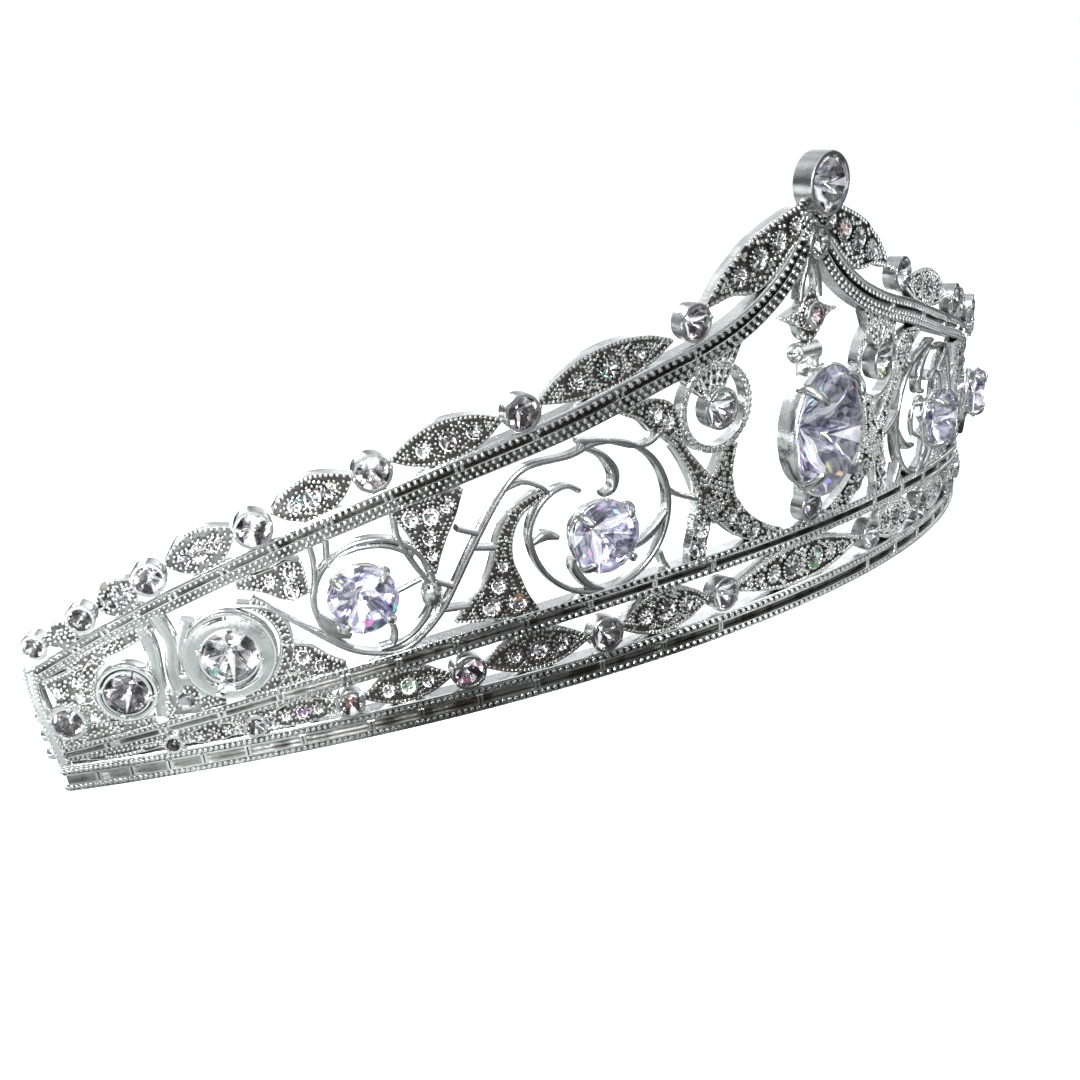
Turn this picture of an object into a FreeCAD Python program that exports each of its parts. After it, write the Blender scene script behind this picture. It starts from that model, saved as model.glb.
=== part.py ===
import FreeCAD, Part
import math
import os
from FreeCAD import Vector

# Bridal tiara, millimetres, +Z up, front towards -Y, wearer's head behind it at +Y.
#
# The tiara is an openwork band.  It follows a circle in plan and leans outward, so it lies on a
# cone.  A place on the band has three coordinates: s runs along the base circle from the middle,
# h runs up the slope, and n stands off the band's middle sheet, outwards.  The two halves mirror
# each other: the half at +X is modelled, every table below is for that half, and the other half
# is its mirror image.

# ---------------------------------------------------------------- driving dimensions
BASE_RADIUS = 107.8        # radius of the base circle, at the middle of the metal
LEAN = math.radians(10.95)  # the band's outward lean
HALF_ARC = 87.0            # half the length along the base circle
RAIL_BACK = -0.9           # n of the rails' inner face
RAIL_FRONT = 0.9           # n of the rails' outer face
GROOVE_FLOOR = 0.25        # n of the floor of the groove along each rail
PANEL_BACK = -0.7          # n of the inner face of leaves and panels
PANEL_FRONT = 0.7          # n of the outer face of leaves and panels
BAR_STEP = 0.06            # how much less each bar of a joined panel stands out
STRAP_BACK = -0.75         # n of the inner edge of the polished straps
STRAP_FRONT = 0.95         # n of the outer edge of the polished straps
STRAP_HALF = 0.42          # half the width of a polished strap
BASE_RAIL_TOP = 3.1        # h of the top of the base rail
SMALL_BEZEL_DEPTH = 1.9    # how far a small bezel stands from its back to its lip
SMALL_BEZEL_WALL = 0.28    # wall of a small bezel
MAIN_STONE_R = 4.0         # the largest round stone
SECOND_STONE_R = 3.6       # the next round stone outward
PENDANT_HALF_WIDTH = 6.0   # the oval stone is 12 by 15
PENDANT_HALF_HEIGHT = 7.5
PENDANT_AT = (22.0, 3.6)   # h and n of the middle of the oval stone's girdle

# Each rail's middle line: s, h, half its height.
MIDDLE_RAIL = [(0, 9.4, 1.15), (20, 9.3, 1.15), (36, 8.8, 1.1), (46, 8.3, 1.1), (56, 7.5, 1.0),
               (64, 6.8, 0.95), (70, 6.1, 0.9), (80, 5.0, 0.85), (86, 4.3, 0.8)]
UPPER_RAIL = [(0.9, 43.9, 1.1), (1.9, 42.2, 1.3), (3.7, 40.0, 1.45), (6, 38.0, 1.5),
              (9, 36.1, 1.5), (12, 34.7, 1.5), (16, 33.3, 1.5), (22, 31.8, 1.5), (30, 29.6, 1.5),
              (36, 28.2, 1.45), (44, 26.6, 1.4), (50, 25.3, 1.35), (56, 23.9, 1.3),
              (62, 22.3, 1.2), (67, 20.8, 1.15), (72, 19.2, 1.1), (76, 17.8, 1.0),
              (80, 16.3, 0.9), (84, 14.6, 0.85), (87, 13.3, 0.8)]

# Small round settings: s, h, radius of the stone.
LOWER_SETTINGS = [(13.6, 5.5, 1.75), (29.4, 5.2, 1.75), (45.1, 5.1, 1.65), (57.4, 4.6, 1.25),
                  (67.0, 4.3, 1.0), (75.2, 3.95, 0.8)]
CREST_SETTINGS = [(17.4, 37.0, 1.85), (37.0, 31.5, 1.75), (51.9, 28.5, 1.75), (63.4, 25.1, 1.7),
                  (73.6, 21.9, 1.5), (80.6, 19.0, 1.25), (85.6, 16.8, 1.1)]

# Settings on the middle line: h, radius of the stone, depth and wall of the bezel, n of the girdle.
APEX_SETTING = [(49.3, 3.15, 2.6, 0.32, 2.3)]
CENTRE_SETTINGS = [(42.9, 1.55, 1.9, 0.3, 1.5), (34.8, 1.3, 0.9, 0.3, 1.36),
                   (12.45, 1.6, 1.9, 0.3, 1.5)]

# Plain cups that hold the outer stones: s, h, radius of the cup, radius of the stone.
OUTER_CUPS = [(67.9, 12.6, 4.7, 2.9), (78.2, 10.5, 3.1, 2.3), (84.5, 8.3, 2.0, 1.6)]


# ---------------------------------------------------------------- places on the band
def axes_at(s, h, n=0.0):
    """The point at (s, h, n) and the band's three directions there: along, up the slope, out."""
    turn = s / BASE_RADIUS
    out = h * math.sin(LEAN) + n * math.cos(LEAN)
    radial = Vector(math.sin(turn), -math.cos(turn), 0)
    point = Vector(0, BASE_RADIUS, 0) + radial * (BASE_RADIUS + out)
    point.z = h * math.cos(LEAN) - n * math.sin(LEAN)
    along = Vector(math.cos(turn), math.sin(turn), 0)
    up = radial * math.sin(LEAN) + Vector(0, 0, math.cos(LEAN))
    normal = radial * math.cos(LEAN) - Vector(0, 0, math.sin(LEAN))
    return point, along, up, normal


def place(shape, s, h, n=0.0):
    """Moves a shape modelled about the origin, facing +Z with +Y up, to (s, h, n) on the band."""
    point, along, up, normal = axes_at(s, h, n)
    matrix = FreeCAD.Matrix(along.x, up.x, normal.x, point.x,
                            along.y, up.y, normal.y, point.y,
                            along.z, up.z, normal.z, point.z, 0, 0, 0, 1)
    placed = shape.copy()
    placed.Placement = FreeCAD.Placement(matrix)
    return placed


# ---------------------------------------------------------------- curves
def smooth(points, step):
    """A Catmull-Rom curve through the points, each a tuple, sampled about every step."""
    first = tuple(2 * a - b for a, b in zip(points[0], points[1]))
    last = tuple(2 * a - b for a, b in zip(points[-1], points[-2]))
    knots = [first] + list(points) + [last]
    samples = [points[0]]
    for p0, p1, p2, p3 in zip(knots, knots[1:], knots[2:], knots[3:]):
        parts = max(1, round(math.dist(p1[:2], p2[:2]) / step))
        for i in range(1, parts + 1):
            t = i / parts
            samples.append(tuple(
                b + 0.5 * t * (c - a + t * (2 * a - 5 * b + 4 * c - d + t * (3 * (b - c) + d - a)))
                for a, b, c, d in zip(p0, p1, p2, p3)))
    return samples


def arc(s, h, radius, start, end, count):
    """Points on a circle about (s, h), from one angle to another, in degrees."""
    angles = [math.radians(start + (end - start) * i / (count - 1)) for i in range(count)]
    return [(s + radius * math.cos(a), h + radius * math.sin(a)) for a in angles]


def widths(points, half):
    """Gives every point of a path the same half width."""
    return [(p[0], p[1], half) for p in points]


# ---------------------------------------------------------------- solids on the band
def run_profile(path, step, profile):
    """Lofts a section along a path on the band.

    path lists (s, h, half width); profile lists corners (across, n), where across is a share of
    the half width, from -1 to 1."""
    samples = smooth(path, step)
    wires = []
    for i, (s, h, half) in enumerate(samples):
        before = samples[max(i - 1, 0)]
        after = samples[min(i + 1, len(samples) - 1)]
        ds, dh = after[0] - before[0], after[1] - before[1]
        length = math.hypot(ds, dh)
        point, along, up, normal = axes_at(s, h)
        across = along * (-dh / length) + up * (ds / length)
        corners = [point + across * (a * half) + normal * n for a, n in profile]
        wires.append(Part.makePolygon(corners + corners[:1]))
    return Part.makeLoft(wires, True, True)


def ribbon(path, back, front, step=1.5):
    """A flat-faced bar along a path of (s, h, half width), between two values of n."""
    return run_profile(path, step, [(-1, back), (1, back), (1, front), (-1, front)])


def grooved(path, step=2.5):
    """A rail: a bar with a groove along the middle of its outer face."""
    return run_profile(path, step, [
        (-1, RAIL_BACK), (1, RAIL_BACK), (1, RAIL_FRONT), (0.34, RAIL_FRONT),
        (0.34, GROOVE_FLOOR), (-0.34, GROOVE_FLOOR), (-0.34, RAIL_FRONT), (-1, RAIL_FRONT)])


def turned(profile):
    """Turns a closed outline of (radius, height) points about the Z axis."""
    corners = [Vector(r, 0, z) for r, z in profile]
    face = Part.Face(Part.makePolygon(corners + corners[:1]))
    return face.revolve(Vector(0, 0, 0), Vector(0, 0, 1), 360)


def strap(points, half=STRAP_HALF, step=1.2):
    """A polished strap of even width through (s, h) points."""
    return ribbon(widths(points, half), STRAP_BACK, STRAP_FRONT, step)


def joined(shapes):
    """One solid from shapes that run into each other."""
    whole = shapes[0].multiFuse(shapes[1:])
    return whole.removeSplitter()


# ---------------------------------------------------------------- stones and their settings
CROWN = 0.30               # a cut stone's height above its girdle, as a share of its radius
PAVILION = 0.82            # its depth below the girdle
TABLE = 0.56               # the radius of its flat top
GIRDLE = 0.05              # half the height of its widest band
SEAT_REACH = 0.28          # how far a bezel's seat reaches in under the girdle


def round_stone(radius):
    """A cut stone about the origin, its girdle at height 0, as a turned shape."""
    return turned([(0, -PAVILION * radius), (radius, -GIRDLE * radius), (radius, GIRDLE * radius),
                   (TABLE * radius, CROWN * radius), (0, CROWN * radius)])


def bezel(radius, depth, wall):
    """A tube that holds a round stone on a conical seat, its lip just above the girdle."""
    lip = 0.18 * radius
    bore = radius * (1 - SEAT_REACH)
    drop = GIRDLE * radius + SEAT_REACH * (PAVILION - GIRDLE) * radius
    return turned([(bore, lip - depth), (radius + wall, lip - depth), (radius + wall, lip),
                   (radius, lip), (radius, -GIRDLE * radius), (bore, -drop)])


def small_setting(s, h, radius, back):
    """A small bezel and its stone, the bezel's back at height n = back."""
    girdle = back + SMALL_BEZEL_DEPTH - 0.18 * radius
    tube = place(bezel(radius, SMALL_BEZEL_DEPTH, SMALL_BEZEL_WALL), s, h, girdle)
    return tube, place(round_stone(radius), s, h, girdle)


def claw(radius, angle, foot, wire):
    """One claw: a round wire that leans out from the foot ring, passes the girdle and bends in."""
    turn = math.radians(angle)
    outward = Vector(math.cos(turn), math.sin(turn), 0)
    stops = [outward * (0.62 * radius) + Vector(0, 0, foot),
             outward * (radius + 0.35 * wire) + Vector(0, 0, 0.0),
             outward * (0.80 * radius) + Vector(0, 0, CROWN * radius + 0.25 * wire)]
    pieces = []
    for a, b in zip(stops, stops[1:]):
        pieces.append(Part.makeCylinder(wire, (b - a).Length, a, b - a))
    for stop in stops[1:]:
        pieces.append(Part.makeSphere(wire, stop))
    return pieces


def basket(radius, foot, wire, angles):
    """Two rings and the claws of an open setting, cut to let the stone in."""
    foot_ring = Part.makeTorus(0.62 * radius, wire, Vector(0, 0, foot))
    gallery = Part.makeTorus(0.86 * radius, wire, Vector(0, 0, -0.34 * radius))
    pieces = [foot_ring, gallery]
    for angle in angles:
        pieces += claw(radius, angle, foot, wire)
    return joined(pieces).cut(round_stone(radius))


def stretched(shape, factor):
    """Stretches a shape along Y, which makes a round setting oval."""
    matrix = FreeCAD.Matrix()
    matrix.scale(1, factor, 1)
    return shape.transformGeometry(matrix)


# ---------------------------------------------------------------- the band's frame
def base_rail():
    """The rail the tiara stands on: a grooved ring sector with a level foot."""
    slope = math.tan(LEAN)

    def corner(h, n):
        z = h * math.cos(LEAN) - n * math.sin(LEAN)
        return Vector(BASE_RADIUS + h * math.sin(LEAN) + n * math.cos(LEAN), 0, z)

    def foot(n):
        at = corner(0, n)
        return Vector(at.x - at.z * slope, 0, 0)

    groove_low, groove_high = 1.05, 1.95
    corners = [foot(RAIL_BACK), foot(RAIL_FRONT), corner(groove_low, RAIL_FRONT),
               corner(groove_low, GROOVE_FLOOR), corner(groove_high, GROOVE_FLOOR),
               corner(groove_high, RAIL_FRONT), corner(BASE_RAIL_TOP, RAIL_FRONT),
               corner(BASE_RAIL_TOP, RAIL_BACK)]
    face = Part.Face(Part.makePolygon(corners + corners[:1]))
    half_turn = math.degrees(HALF_ARC / BASE_RADIUS)
    rail = face.revolve(Vector(0, 0, 0), Vector(0, 0, 1), 2 * half_turn)
    rail.rotate(Vector(0, 0, 0), Vector(0, 0, 1), -90 - half_turn)
    rail.translate(Vector(0, BASE_RADIUS, 0))
    return rail


def middle_rail():
    """The rail between the lower frieze and the main frieze, in one piece from end to end."""
    outer = [(-s, h, half) for s, h, half in MIDDLE_RAIL[:0:-1]]
    return grooved(outer + MIDDLE_RAIL)


def end_bar():
    """The upright that closes the band's end, with knobs down its outer edge."""
    path = [(87.1, 14.6, 0.75), (87.3, 11, 0.7), (86.9, 7, 0.65), (86.6, BASE_RAIL_TOP, 0.6)]
    pieces = [ribbon(path, RAIL_BACK, RAIL_FRONT, 2.0)]
    for i in range(5):
        pieces.append(Part.makeSphere(0.75, axes_at(87.6, 4.4 + 2.1 * i)[0]))
    return joined(pieces)


# ---------------------------------------------------------------- leaves and set panels
def leaf(start, end, low, high):
    """A leaf between two settings.  start and end are its tips (s, h); low and high are how far
    its lower and upper edges bow away from the line between them."""
    count = 9
    path = []
    for i in range(count):
        t = i / (count - 1)
        bow = math.sin(math.pi * t) ** 0.8
        middle = 0.5 * (high - low) * bow
        half = 0.5 * (high + low) * bow + 0.3
        path.append((start[0] + t * (end[0] - start[0]),
                     start[1] + t * (end[1] - start[1]) + middle, half))
    return ribbon(path, PANEL_BACK, PANEL_FRONT, 1.6)


# Leaves: tip (s, h), tip (s, h), bow of the lower edge, bow of the upper edge.
LOWER_LEAVES = [((15.6, 5.3), (27.3, 5.1), 1.85, 2.7), ((31.4, 5.1), (43.1, 5.0), 1.7, 2.4),
                ((46.9, 4.9), (55.9, 4.6), 1.4, 1.85), ((58.8, 4.5), (65.8, 4.3), 1.05, 1.35),
                ((68.2, 4.2), (74.2, 4.0), 0.75, 0.75), ((76.2, 3.9), (84.5, 3.6), 0.4, 0.15)]
CREST_LEAVES = [((19.8, 35.4), (34.9, 31.9), 1.7, 2.5), ((38.9, 31.0), (49.8, 29.1), 2.05, 1.85),
                ((53.8, 28.3), (61.4, 26.1), 2.3, 1.7), ((65.3, 25.3), (71.9, 22.9), 2.5, 1.5),
                ((75.2, 21.8), (79.1, 20.0), 2.4, 1.2), ((81.9, 18.6), (84.5, 17.5), 2.05, 0.65)]
# The wide leaf that climbs from the first crest setting to the apex.
APEX_LEAF = [(15.2, 38.2, 0.35), (12.3, 40.1, 1.6), (9.5, 41.1, 2.75), (7.0, 42.6, 2.75),
             (4.8, 44.0, 2.3), (2.5, 45.2, 1.9), (0.7, 46.0, 1.3)]


def lower_leaves():
    """The leaves of the lower frieze, outward from the first setting."""
    return [leaf(*row) for row in LOWER_LEAVES]


def centre_leaf():
    """The middle leaf of the lower frieze, which crosses the centre."""
    half = [(4, 5.6, 2.4), (8, 5.5, 1.5), (11.7, 5.45, 0.4)]
    path = [(-s, h, w) for s, h, w in half[::-1]] + [(0, 5.65, 2.62)] + half
    return ribbon(path, PANEL_BACK, PANEL_FRONT, 1.6)


def crest_leaves():
    """The scalloped leaves along the top, and the wide leaf below the apex stone."""
    leaves = [leaf(*row) for row in CREST_LEAVES]
    return [ribbon(APEX_LEAF, PANEL_BACK, PANEL_FRONT, 1.6)] + leaves


# Panels set with small stones: name, path of (s, h, half width).
HORN_PANEL = [(41.0, 9.9, 4.9), (40.7, 11.6, 3.6), (40.3, 13.6, 2.2), (40.1, 16, 1.2),
              (39.6, 18.6, 0.9), (38.2, 20.9, 0.75), (36.2, 22.0, 0.6), (34.7, 22.2, 0.35)]
WEDGE_PANEL = [(47.2, 24.4, 3.9), (47.1, 22.6, 3.0), (47.2, 20.4, 1.9), (47.3, 18.3, 1.05),
               (47.4, 16.4, 0.45)]
CORNER_PANEL = [(25.6, 29.0, 0.5), (23.4, 28.6, 1.2), (21.4, 27.6, 1.9), (20.0, 26.0, 1.4),
                (19.2, 24.4, 0.75)]
FILL_PANEL_HIGH = [(66.0, 19.4, 0.5), (63.4, 19.2, 1.2), (61.4, 18.9, 2.1), (59.6, 19.0, 1.9)]
FILL_PANEL_LOW = [(62.6, 11.9, 0.6), (61.2, 10.4, 1.6), (59.4, 9.2, 1.3), (57.2, 8.6, 0.5)]
TAIL_PANEL = [(81.6, 12.9, 1.3), (83.4, 12.0, 1.5), (85.8, 11.3, 1.5)]
# Panels round the outer cups: a crescent and two strips by the first, a collar by the second.
CUP_CRESCENT = widths(arc(67.9, 12.6, 5.5, 122, 236, 9), 0.7)
CUP_STRIP = [(59.5, 8.6, 0.5), (62.5, 8.4, 0.7), (65.0, 8.1, 0.8), (67.5, 7.6, 0.4)]
CUP_FOOT = [(69.3, 7.6, 0.5), (71.6, 8.2, 1.5), (73.6, 8.0, 1.7), (75.6, 7.2, 0.8)]
CUP_COLLAR = widths(arc(78.2, 10.5, 4.05, -70, 60, 9), 0.75)
END_STRIP = [(76.6, 6.5, 0.6), (79.0, 6.3, 0.8), (82.0, 6.2, 1.1), (85.9, 5.9, 1.1)]
# A thin plate behind the outer end of the lower frieze, with how far it comes forward.
BACKING = [(59.0, 4.9, 1.4), (64.0, 4.6, 1.3), (70.0, 4.2, 1.05), (76.0, 3.9, 0.75),
           (82.0, 3.55, 0.4), (86.3, 3.35, 0.25)]
BACKING_FRONT = 0.2


def joined_panels(paths):
    """Panels that run into each other, as one solid.  Each stands out a little less than the
    last, so that no two faces nearly coincide."""
    return joined([ribbon(path, PANEL_BACK + i * BAR_STEP, PANEL_FRONT - i * BAR_STEP, 1.3)
                   for i, path in enumerate(paths)])


def set_panels():
    """The small panels that fill the corners between the scrolls and round the outer cups."""
    paths = [HORN_PANEL, WEDGE_PANEL, CORNER_PANEL, FILL_PANEL_HIGH, CUP_FOOT]
    panels = [ribbon(path, PANEL_BACK, PANEL_FRONT, 1.3) for path in paths]
    panels.append(joined_panels([FILL_PANEL_LOW, CUP_CRESCENT, CUP_STRIP]))
    panels.append(joined_panels([TAIL_PANEL, CUP_COLLAR, END_STRIP]))
    panels.append(ribbon(BACKING, PANEL_BACK, BACKING_FRONT, 1.6))
    return panels


def hourglass():
    """The waisted panel beside the arch: two arms up to the rail and the drop ring, two legs."""
    arms = [
        [(19.3, 24.2, 0.75), (18.3, 22.6, 0.7), (17.0, 20.6, 0.95), (15.8, 18.6, 1.3)],
        [(12.0, 22.6, 0.9), (12.7, 20.8, 1.15), (13.3, 19.2, 1.5), (14.2, 17.4, 2.0)],
        [(14.3, 18.6, 2.6), (14.2, 16.9, 2.75), (14.0, 15.2, 3.1), (13.9, 14.3, 3.3)],
        [(16.0, 15.2, 1.3), (16.4, 13.2, 1.2), (16.9, 11.6, 1.15), (16.9, 10.2, 1.2)],
        [(12.4, 15.0, 1.8), (10.7, 13.2, 1.55), (8.9, 11.9, 1.35), (6.4, 10.9, 0.9),
         (4.2, 10.6, 0.35)]]
    return joined_panels(arms)


# ---------------------------------------------------------------- scrolls
RING_ONE = (28.8, 18.15, 8.2)    # the large scroll's circle: s, h, radius
RING_TWO = (53.3, 15.5, 5.9)     # the second scroll's circle
STONE_ONE = (29.8, 17.0)
STONE_TWO = (54.7, 16.3)


def main_scroll():
    """One long strap: it leaves the outer cup, passes under the second ring, climbs in an S,
    runs all round the large ring and curls in to the large stone's claws."""
    s, h, radius = RING_ONE
    climb = [(66.4, 17.3), (63.6, 16.4), (61, 14.2), (57, 10.6), (54.3, 9.3), (51.6, 8.95),
             (49.4, 9.9), (46.6, 12.6), (43, 18.3), (39.6, 23.2), (36.8, 25.4)]
    curl = [(36.2, 20.4), (34.6, 22.0), (32.6, 22.5), (31.2, 21.7)]
    return strap(climb + arc(s, h, radius, 66, 360, 15) + curl)


def scroll_straps():
    """The short straps: the large ring's arms, its links to the neighbours, and the struts."""
    runs = [
        [(30.6, 26.3), (28.4, 24.9), (27.1, 22.8), (27.4, 21.0), (28.6, 20.6)],
        [(21.0, 17.0), (22.2, 15.6), (24.2, 14.3), (26.4, 14.0)],
        [(29.2, 10.2), (31.0, 11.2), (32.3, 13.2), (32.4, 14.4)],
        [(36.8, 17.2), (35.2, 17.7), (33.9, 17.2)],
        [(31.0, 26.9), (28.0, 26.4), (25.0, 25.2), (22.9, 25.0), (21.2, 26.0)],
        [(20.8, 19.6), (19.4, 18.5), (17.0, 17.4)],
        [(21.9, 12.6), (21.5, 11.4), (20.9, 10.3)],
        [(39.4, 23.6), (37.4, 24.0), (35.6, 23.2), (34.7, 22.3)],
        [(42.4, 19.6), (44.4, 20.6)],
        [(43.0, 18.2), (40.8, 17.7)],
        [(46.8, 12.3), (44.0, 12.0)],
        [(47.2, 15.6), (45.6, 14.6)]]
    return [strap(run) for run in runs]


def second_ring():
    """The second scroll: an almost closed ring with three arms that run in to the claws."""
    s, h, radius = RING_TWO
    ring = strap(arc(s, h, radius, -60, 272, 19))
    runs = [
        [(50.4, 23.4), (50.2, 20.8), (48.9, 17.6), (47.8, 15.6)],
        [(49.0, 18.9), (51.4, 20.4), (54.0, 20.8), (56.2, 20.4)],
        [(48.6, 16.2), (49.9, 15.8), (51.2, 15.4)],
        [(52.2, 9.7), (51.8, 11.2), (52.4, 12.9)],
        [(58.9, 17.0), (58.5, 19.8), (58.7, 22.6)],
        [(57.3, 19.4), (57.0, 22.6)],
        [(59.1, 14.6), (58.0, 12.9), (56.2, 11.7)]]
    return joined([ring] + [strap(run) for run in runs])


def oval_boss():
    """A smooth oval button between the second ring and the climbing strap."""
    low = Vector(0, 0, -0.8)
    outline = Part.Ellipse(low + Vector(0, 1.75, 0), low + Vector(1.1, 0, 0), low)
    quarter = math.pi / 2
    sides = [Part.ArcOfEllipse(outline, start, start + 2 * quarter).toShape()
             for start in (-quarter, quarter)]
    button = Part.Face(Part.Wire(sides)).extrude(Vector(0, 0, 1.9))
    return place(button, 47.6, 14.3)


def open_bars():
    """The upright bars between the first and the second outer cup."""
    runs = [[(71.2, 16.6), (72.2, 13.8), (71.9, 10.8), (71.0, 8.4)],
            [(73.9, 17.6), (73.2, 14.6), (73.7, 11.4), (73.2, 7.2)],
            [(75.6, 16.9), (75.2, 14.4), (75.3, 11.9), (75.6, 6.9)],
            [(73.2, 10.4), (71.7, 10.2)]]
    return joined([strap(run, 0.5) for run in runs])


# ---------------------------------------------------------------- the drop ring
DROP = (14.1, 27.1)        # centre of the hanging ring
DROP_RING_R = 4.65
DROP_STONE_R = 2.1


def drop_ring():
    """A ring under the upper rail, with a fan of struts from its stone's tube to the rail."""
    s, h = DROP
    inner, outer = DROP_RING_R - 0.45, DROP_RING_R + 0.45
    hoop = turned([(inner, PANEL_BACK), (outer, PANEL_BACK), (outer, PANEL_FRONT),
                   (inner, PANEL_FRONT)])
    pieces = [place(hoop, s, h)]
    for foot, angle in ((10.9, 68), (12.7, 82), (14.5, 96), (16.4, 114), (18.4, 134)):
        a = math.radians(angle)
        start = (s + 2.5 * math.cos(math.pi - a), h + 2.5 * math.sin(a))
        top = 33.3 - 0.31 * (foot - 12)
        pieces.append(ribbon(widths([start, (foot, top)], 0.42), PANEL_BACK, PANEL_FRONT))
    return joined(pieces)


# ---------------------------------------------------------------- the middle column
def kite_link():
    """A four-pointed link with hollowed sides, on a neck that hangs from the arch."""
    right = [(0.0, 37.9), (1.5, 36.3), (4.2, 34.9), (2.0, 33.8), (1.3, 32.2), (0.0, 31.7)]
    outline = right + [(-s, h) for s, h in right[-2:0:-1]]
    point, along, up, normal = axes_at(0, 34.8)
    corners = [point + along * s + up * (h - 34.8) + normal * PANEL_BACK for s, h in outline]
    face = Part.Face(Part.makePolygon(corners + corners[:1]))
    return face.extrude(normal * (PANEL_FRONT - PANEL_BACK))


def neck_loop():
    """Two strands that leave the arch's point and part to hold the kite link."""
    strand = [(0.5, 41.6), (0.75, 40.2), (1.35, 38.6), (1.6, 36.6)]
    strands = [strap([(hand * s, h) for s, h in strand], 0.36) for hand in (-1, 1)]
    bridge = ribbon([(0, 40.4, 0.8), (0, 41.6, 1.0)], STRAP_BACK, STRAP_FRONT)
    return joined(strands + [bridge])


def pendant_links():
    """The short tube and tab that hold the pendant's top, and the tab under its foot."""
    point, along, up, normal = axes_at(0, 30.5)
    tube = Part.makeCylinder(1.25, 3.2, point - along * 1.6, along)
    upper_tab = ribbon([(0, 27.2, 0.9), (0, 30.2, 0.9)], PANEL_BACK, 1.6)
    lower_tab = ribbon([(0, 13.4, 0.8), (0, 17.0, 0.8)], PANEL_BACK, 1.4)
    return [joined([tube, upper_tab]), lower_tab]


def pendant_wall():
    """The deep plain wall behind the oval stone, open at the back."""
    radius = PENDANT_HALF_WIDTH
    wall = turned([(0.78 * radius, -2.9), (0.92 * radius, -2.9), (1.0 * radius, -0.7),
                   (0.88 * radius, -0.7)])
    claws = []
    for angle in (45, 135, 225, 315):
        claws += claw(radius, angle, -2.7, 0.5)
    round_basket = joined([wall] + claws).cut(round_stone(radius))
    return stretched(round_basket, PENDANT_HALF_HEIGHT / PENDANT_HALF_WIDTH)


# ---------------------------------------------------------------- small set stones
# s, h, radius of each small stone on the panels of one half.
PANEL_STONES = [(40.9, 13.6, 0.85), (41.9, 11.5, 1.05), (39.0, 11.3, 1.05), (40.2, 15.6, 0.6),
                (48.9, 22.8, 0.95), (46.9, 22.6, 0.95), (45.2, 23.4, 0.8), (47.3, 20.4, 0.85),
                (47.2, 18.5, 0.6), (22.2, 28.0, 0.95), (20.6, 26.8, 0.75), (61.0, 17.9, 0.95),
                (60.9, 19.8, 0.75), (62.9, 19.2, 0.65), (61.2, 10.6, 0.8), (59.7, 9.3, 0.65),
                (82.7, 12.2, 0.7), (84.8, 11.4, 0.7), (73.0, 8.3, 0.85), (16.4, 13.7, 0.9),
                (16.9, 11.7, 0.95), (12.4, 14.2, 0.9), (10.6, 12.8, 0.95), (8.8, 11.7, 0.8),
                (2.2, 5.5, 1.25), (5.3, 5.5, 0.9), (7.7, 5.4, 0.6)]
APEX_LEAF_STONES = [(11.0, 40.6, 1.0), (8.3, 42.1, 1.15), (5.5, 43.5, 1.1), (2.9, 44.9, 0.8)]


def leaf_stones(row):
    """Three stones along a leaf, the largest in the middle: (s, h, radius) each."""
    (s0, h0), (s1, h1), low, high = row
    spread = 0.23 * abs(s1 - s0)
    size = min(1.1, 0.30 * (low + high))
    middle_s, middle_h = 0.5 * (s0 + s1), 0.5 * (h0 + h1) + 0.5 * (high - low)
    slope = (h1 - h0) / (s1 - s0)
    return [(middle_s + i * spread, middle_h + slope * i * spread, size * (1 - 0.25 * abs(i)))
            for i in (-1, 0, 1)]


def small_stones():
    """Every small stone of one half, each with its flat back on the panel's face."""
    rows = PANEL_STONES + APEX_LEAF_STONES
    for row in LOWER_LEAVES[:-1] + CREST_LEAVES[:-1]:
        rows = rows + leaf_stones(row)
    stones = []
    for s, h, radius in rows:
        crown = turned([(0, 0), (radius, 0), (radius, 0.15 * radius),
                        (TABLE * radius, 0.45 * radius), (0, 0.45 * radius)])
        stones.append(place(crown, s, h, PANEL_FRONT))
    return stones


# ---------------------------------------------------------------- everything, by node name
CRUMB = 0.02               # mm3; what a cut leaves below this is dropped
CLAW_ANGLES = (45, 135, 225, 315)


def middle_pieces():
    """What is set or joined on the middle line first: rails, settings and their stones."""
    nodes = {"base_rail": [base_rail()], "middle_rail": [middle_rail()]}
    for part, rows in (("apex", APEX_SETTING), ("centre", CENTRE_SETTINGS)):
        nodes[part + "_bezels"] = [place(bezel(radius, depth, wall), 0, h, girdle)
                                   for h, radius, depth, wall, girdle in rows]
        nodes[part + "_stones"] = [place(round_stone(radius), 0, h, girdle)
                                   for h, radius, depth, wall, girdle in rows]
    oval = stretched(round_stone(PENDANT_HALF_WIDTH), PENDANT_HALF_HEIGHT / PENDANT_HALF_WIDTH)
    nodes["pendant_setting"] = [place(pendant_wall(), 0, *PENDANT_AT)]
    nodes["pendant_oval_stone"] = [place(oval, 0, *PENDANT_AT)]
    return nodes


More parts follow.
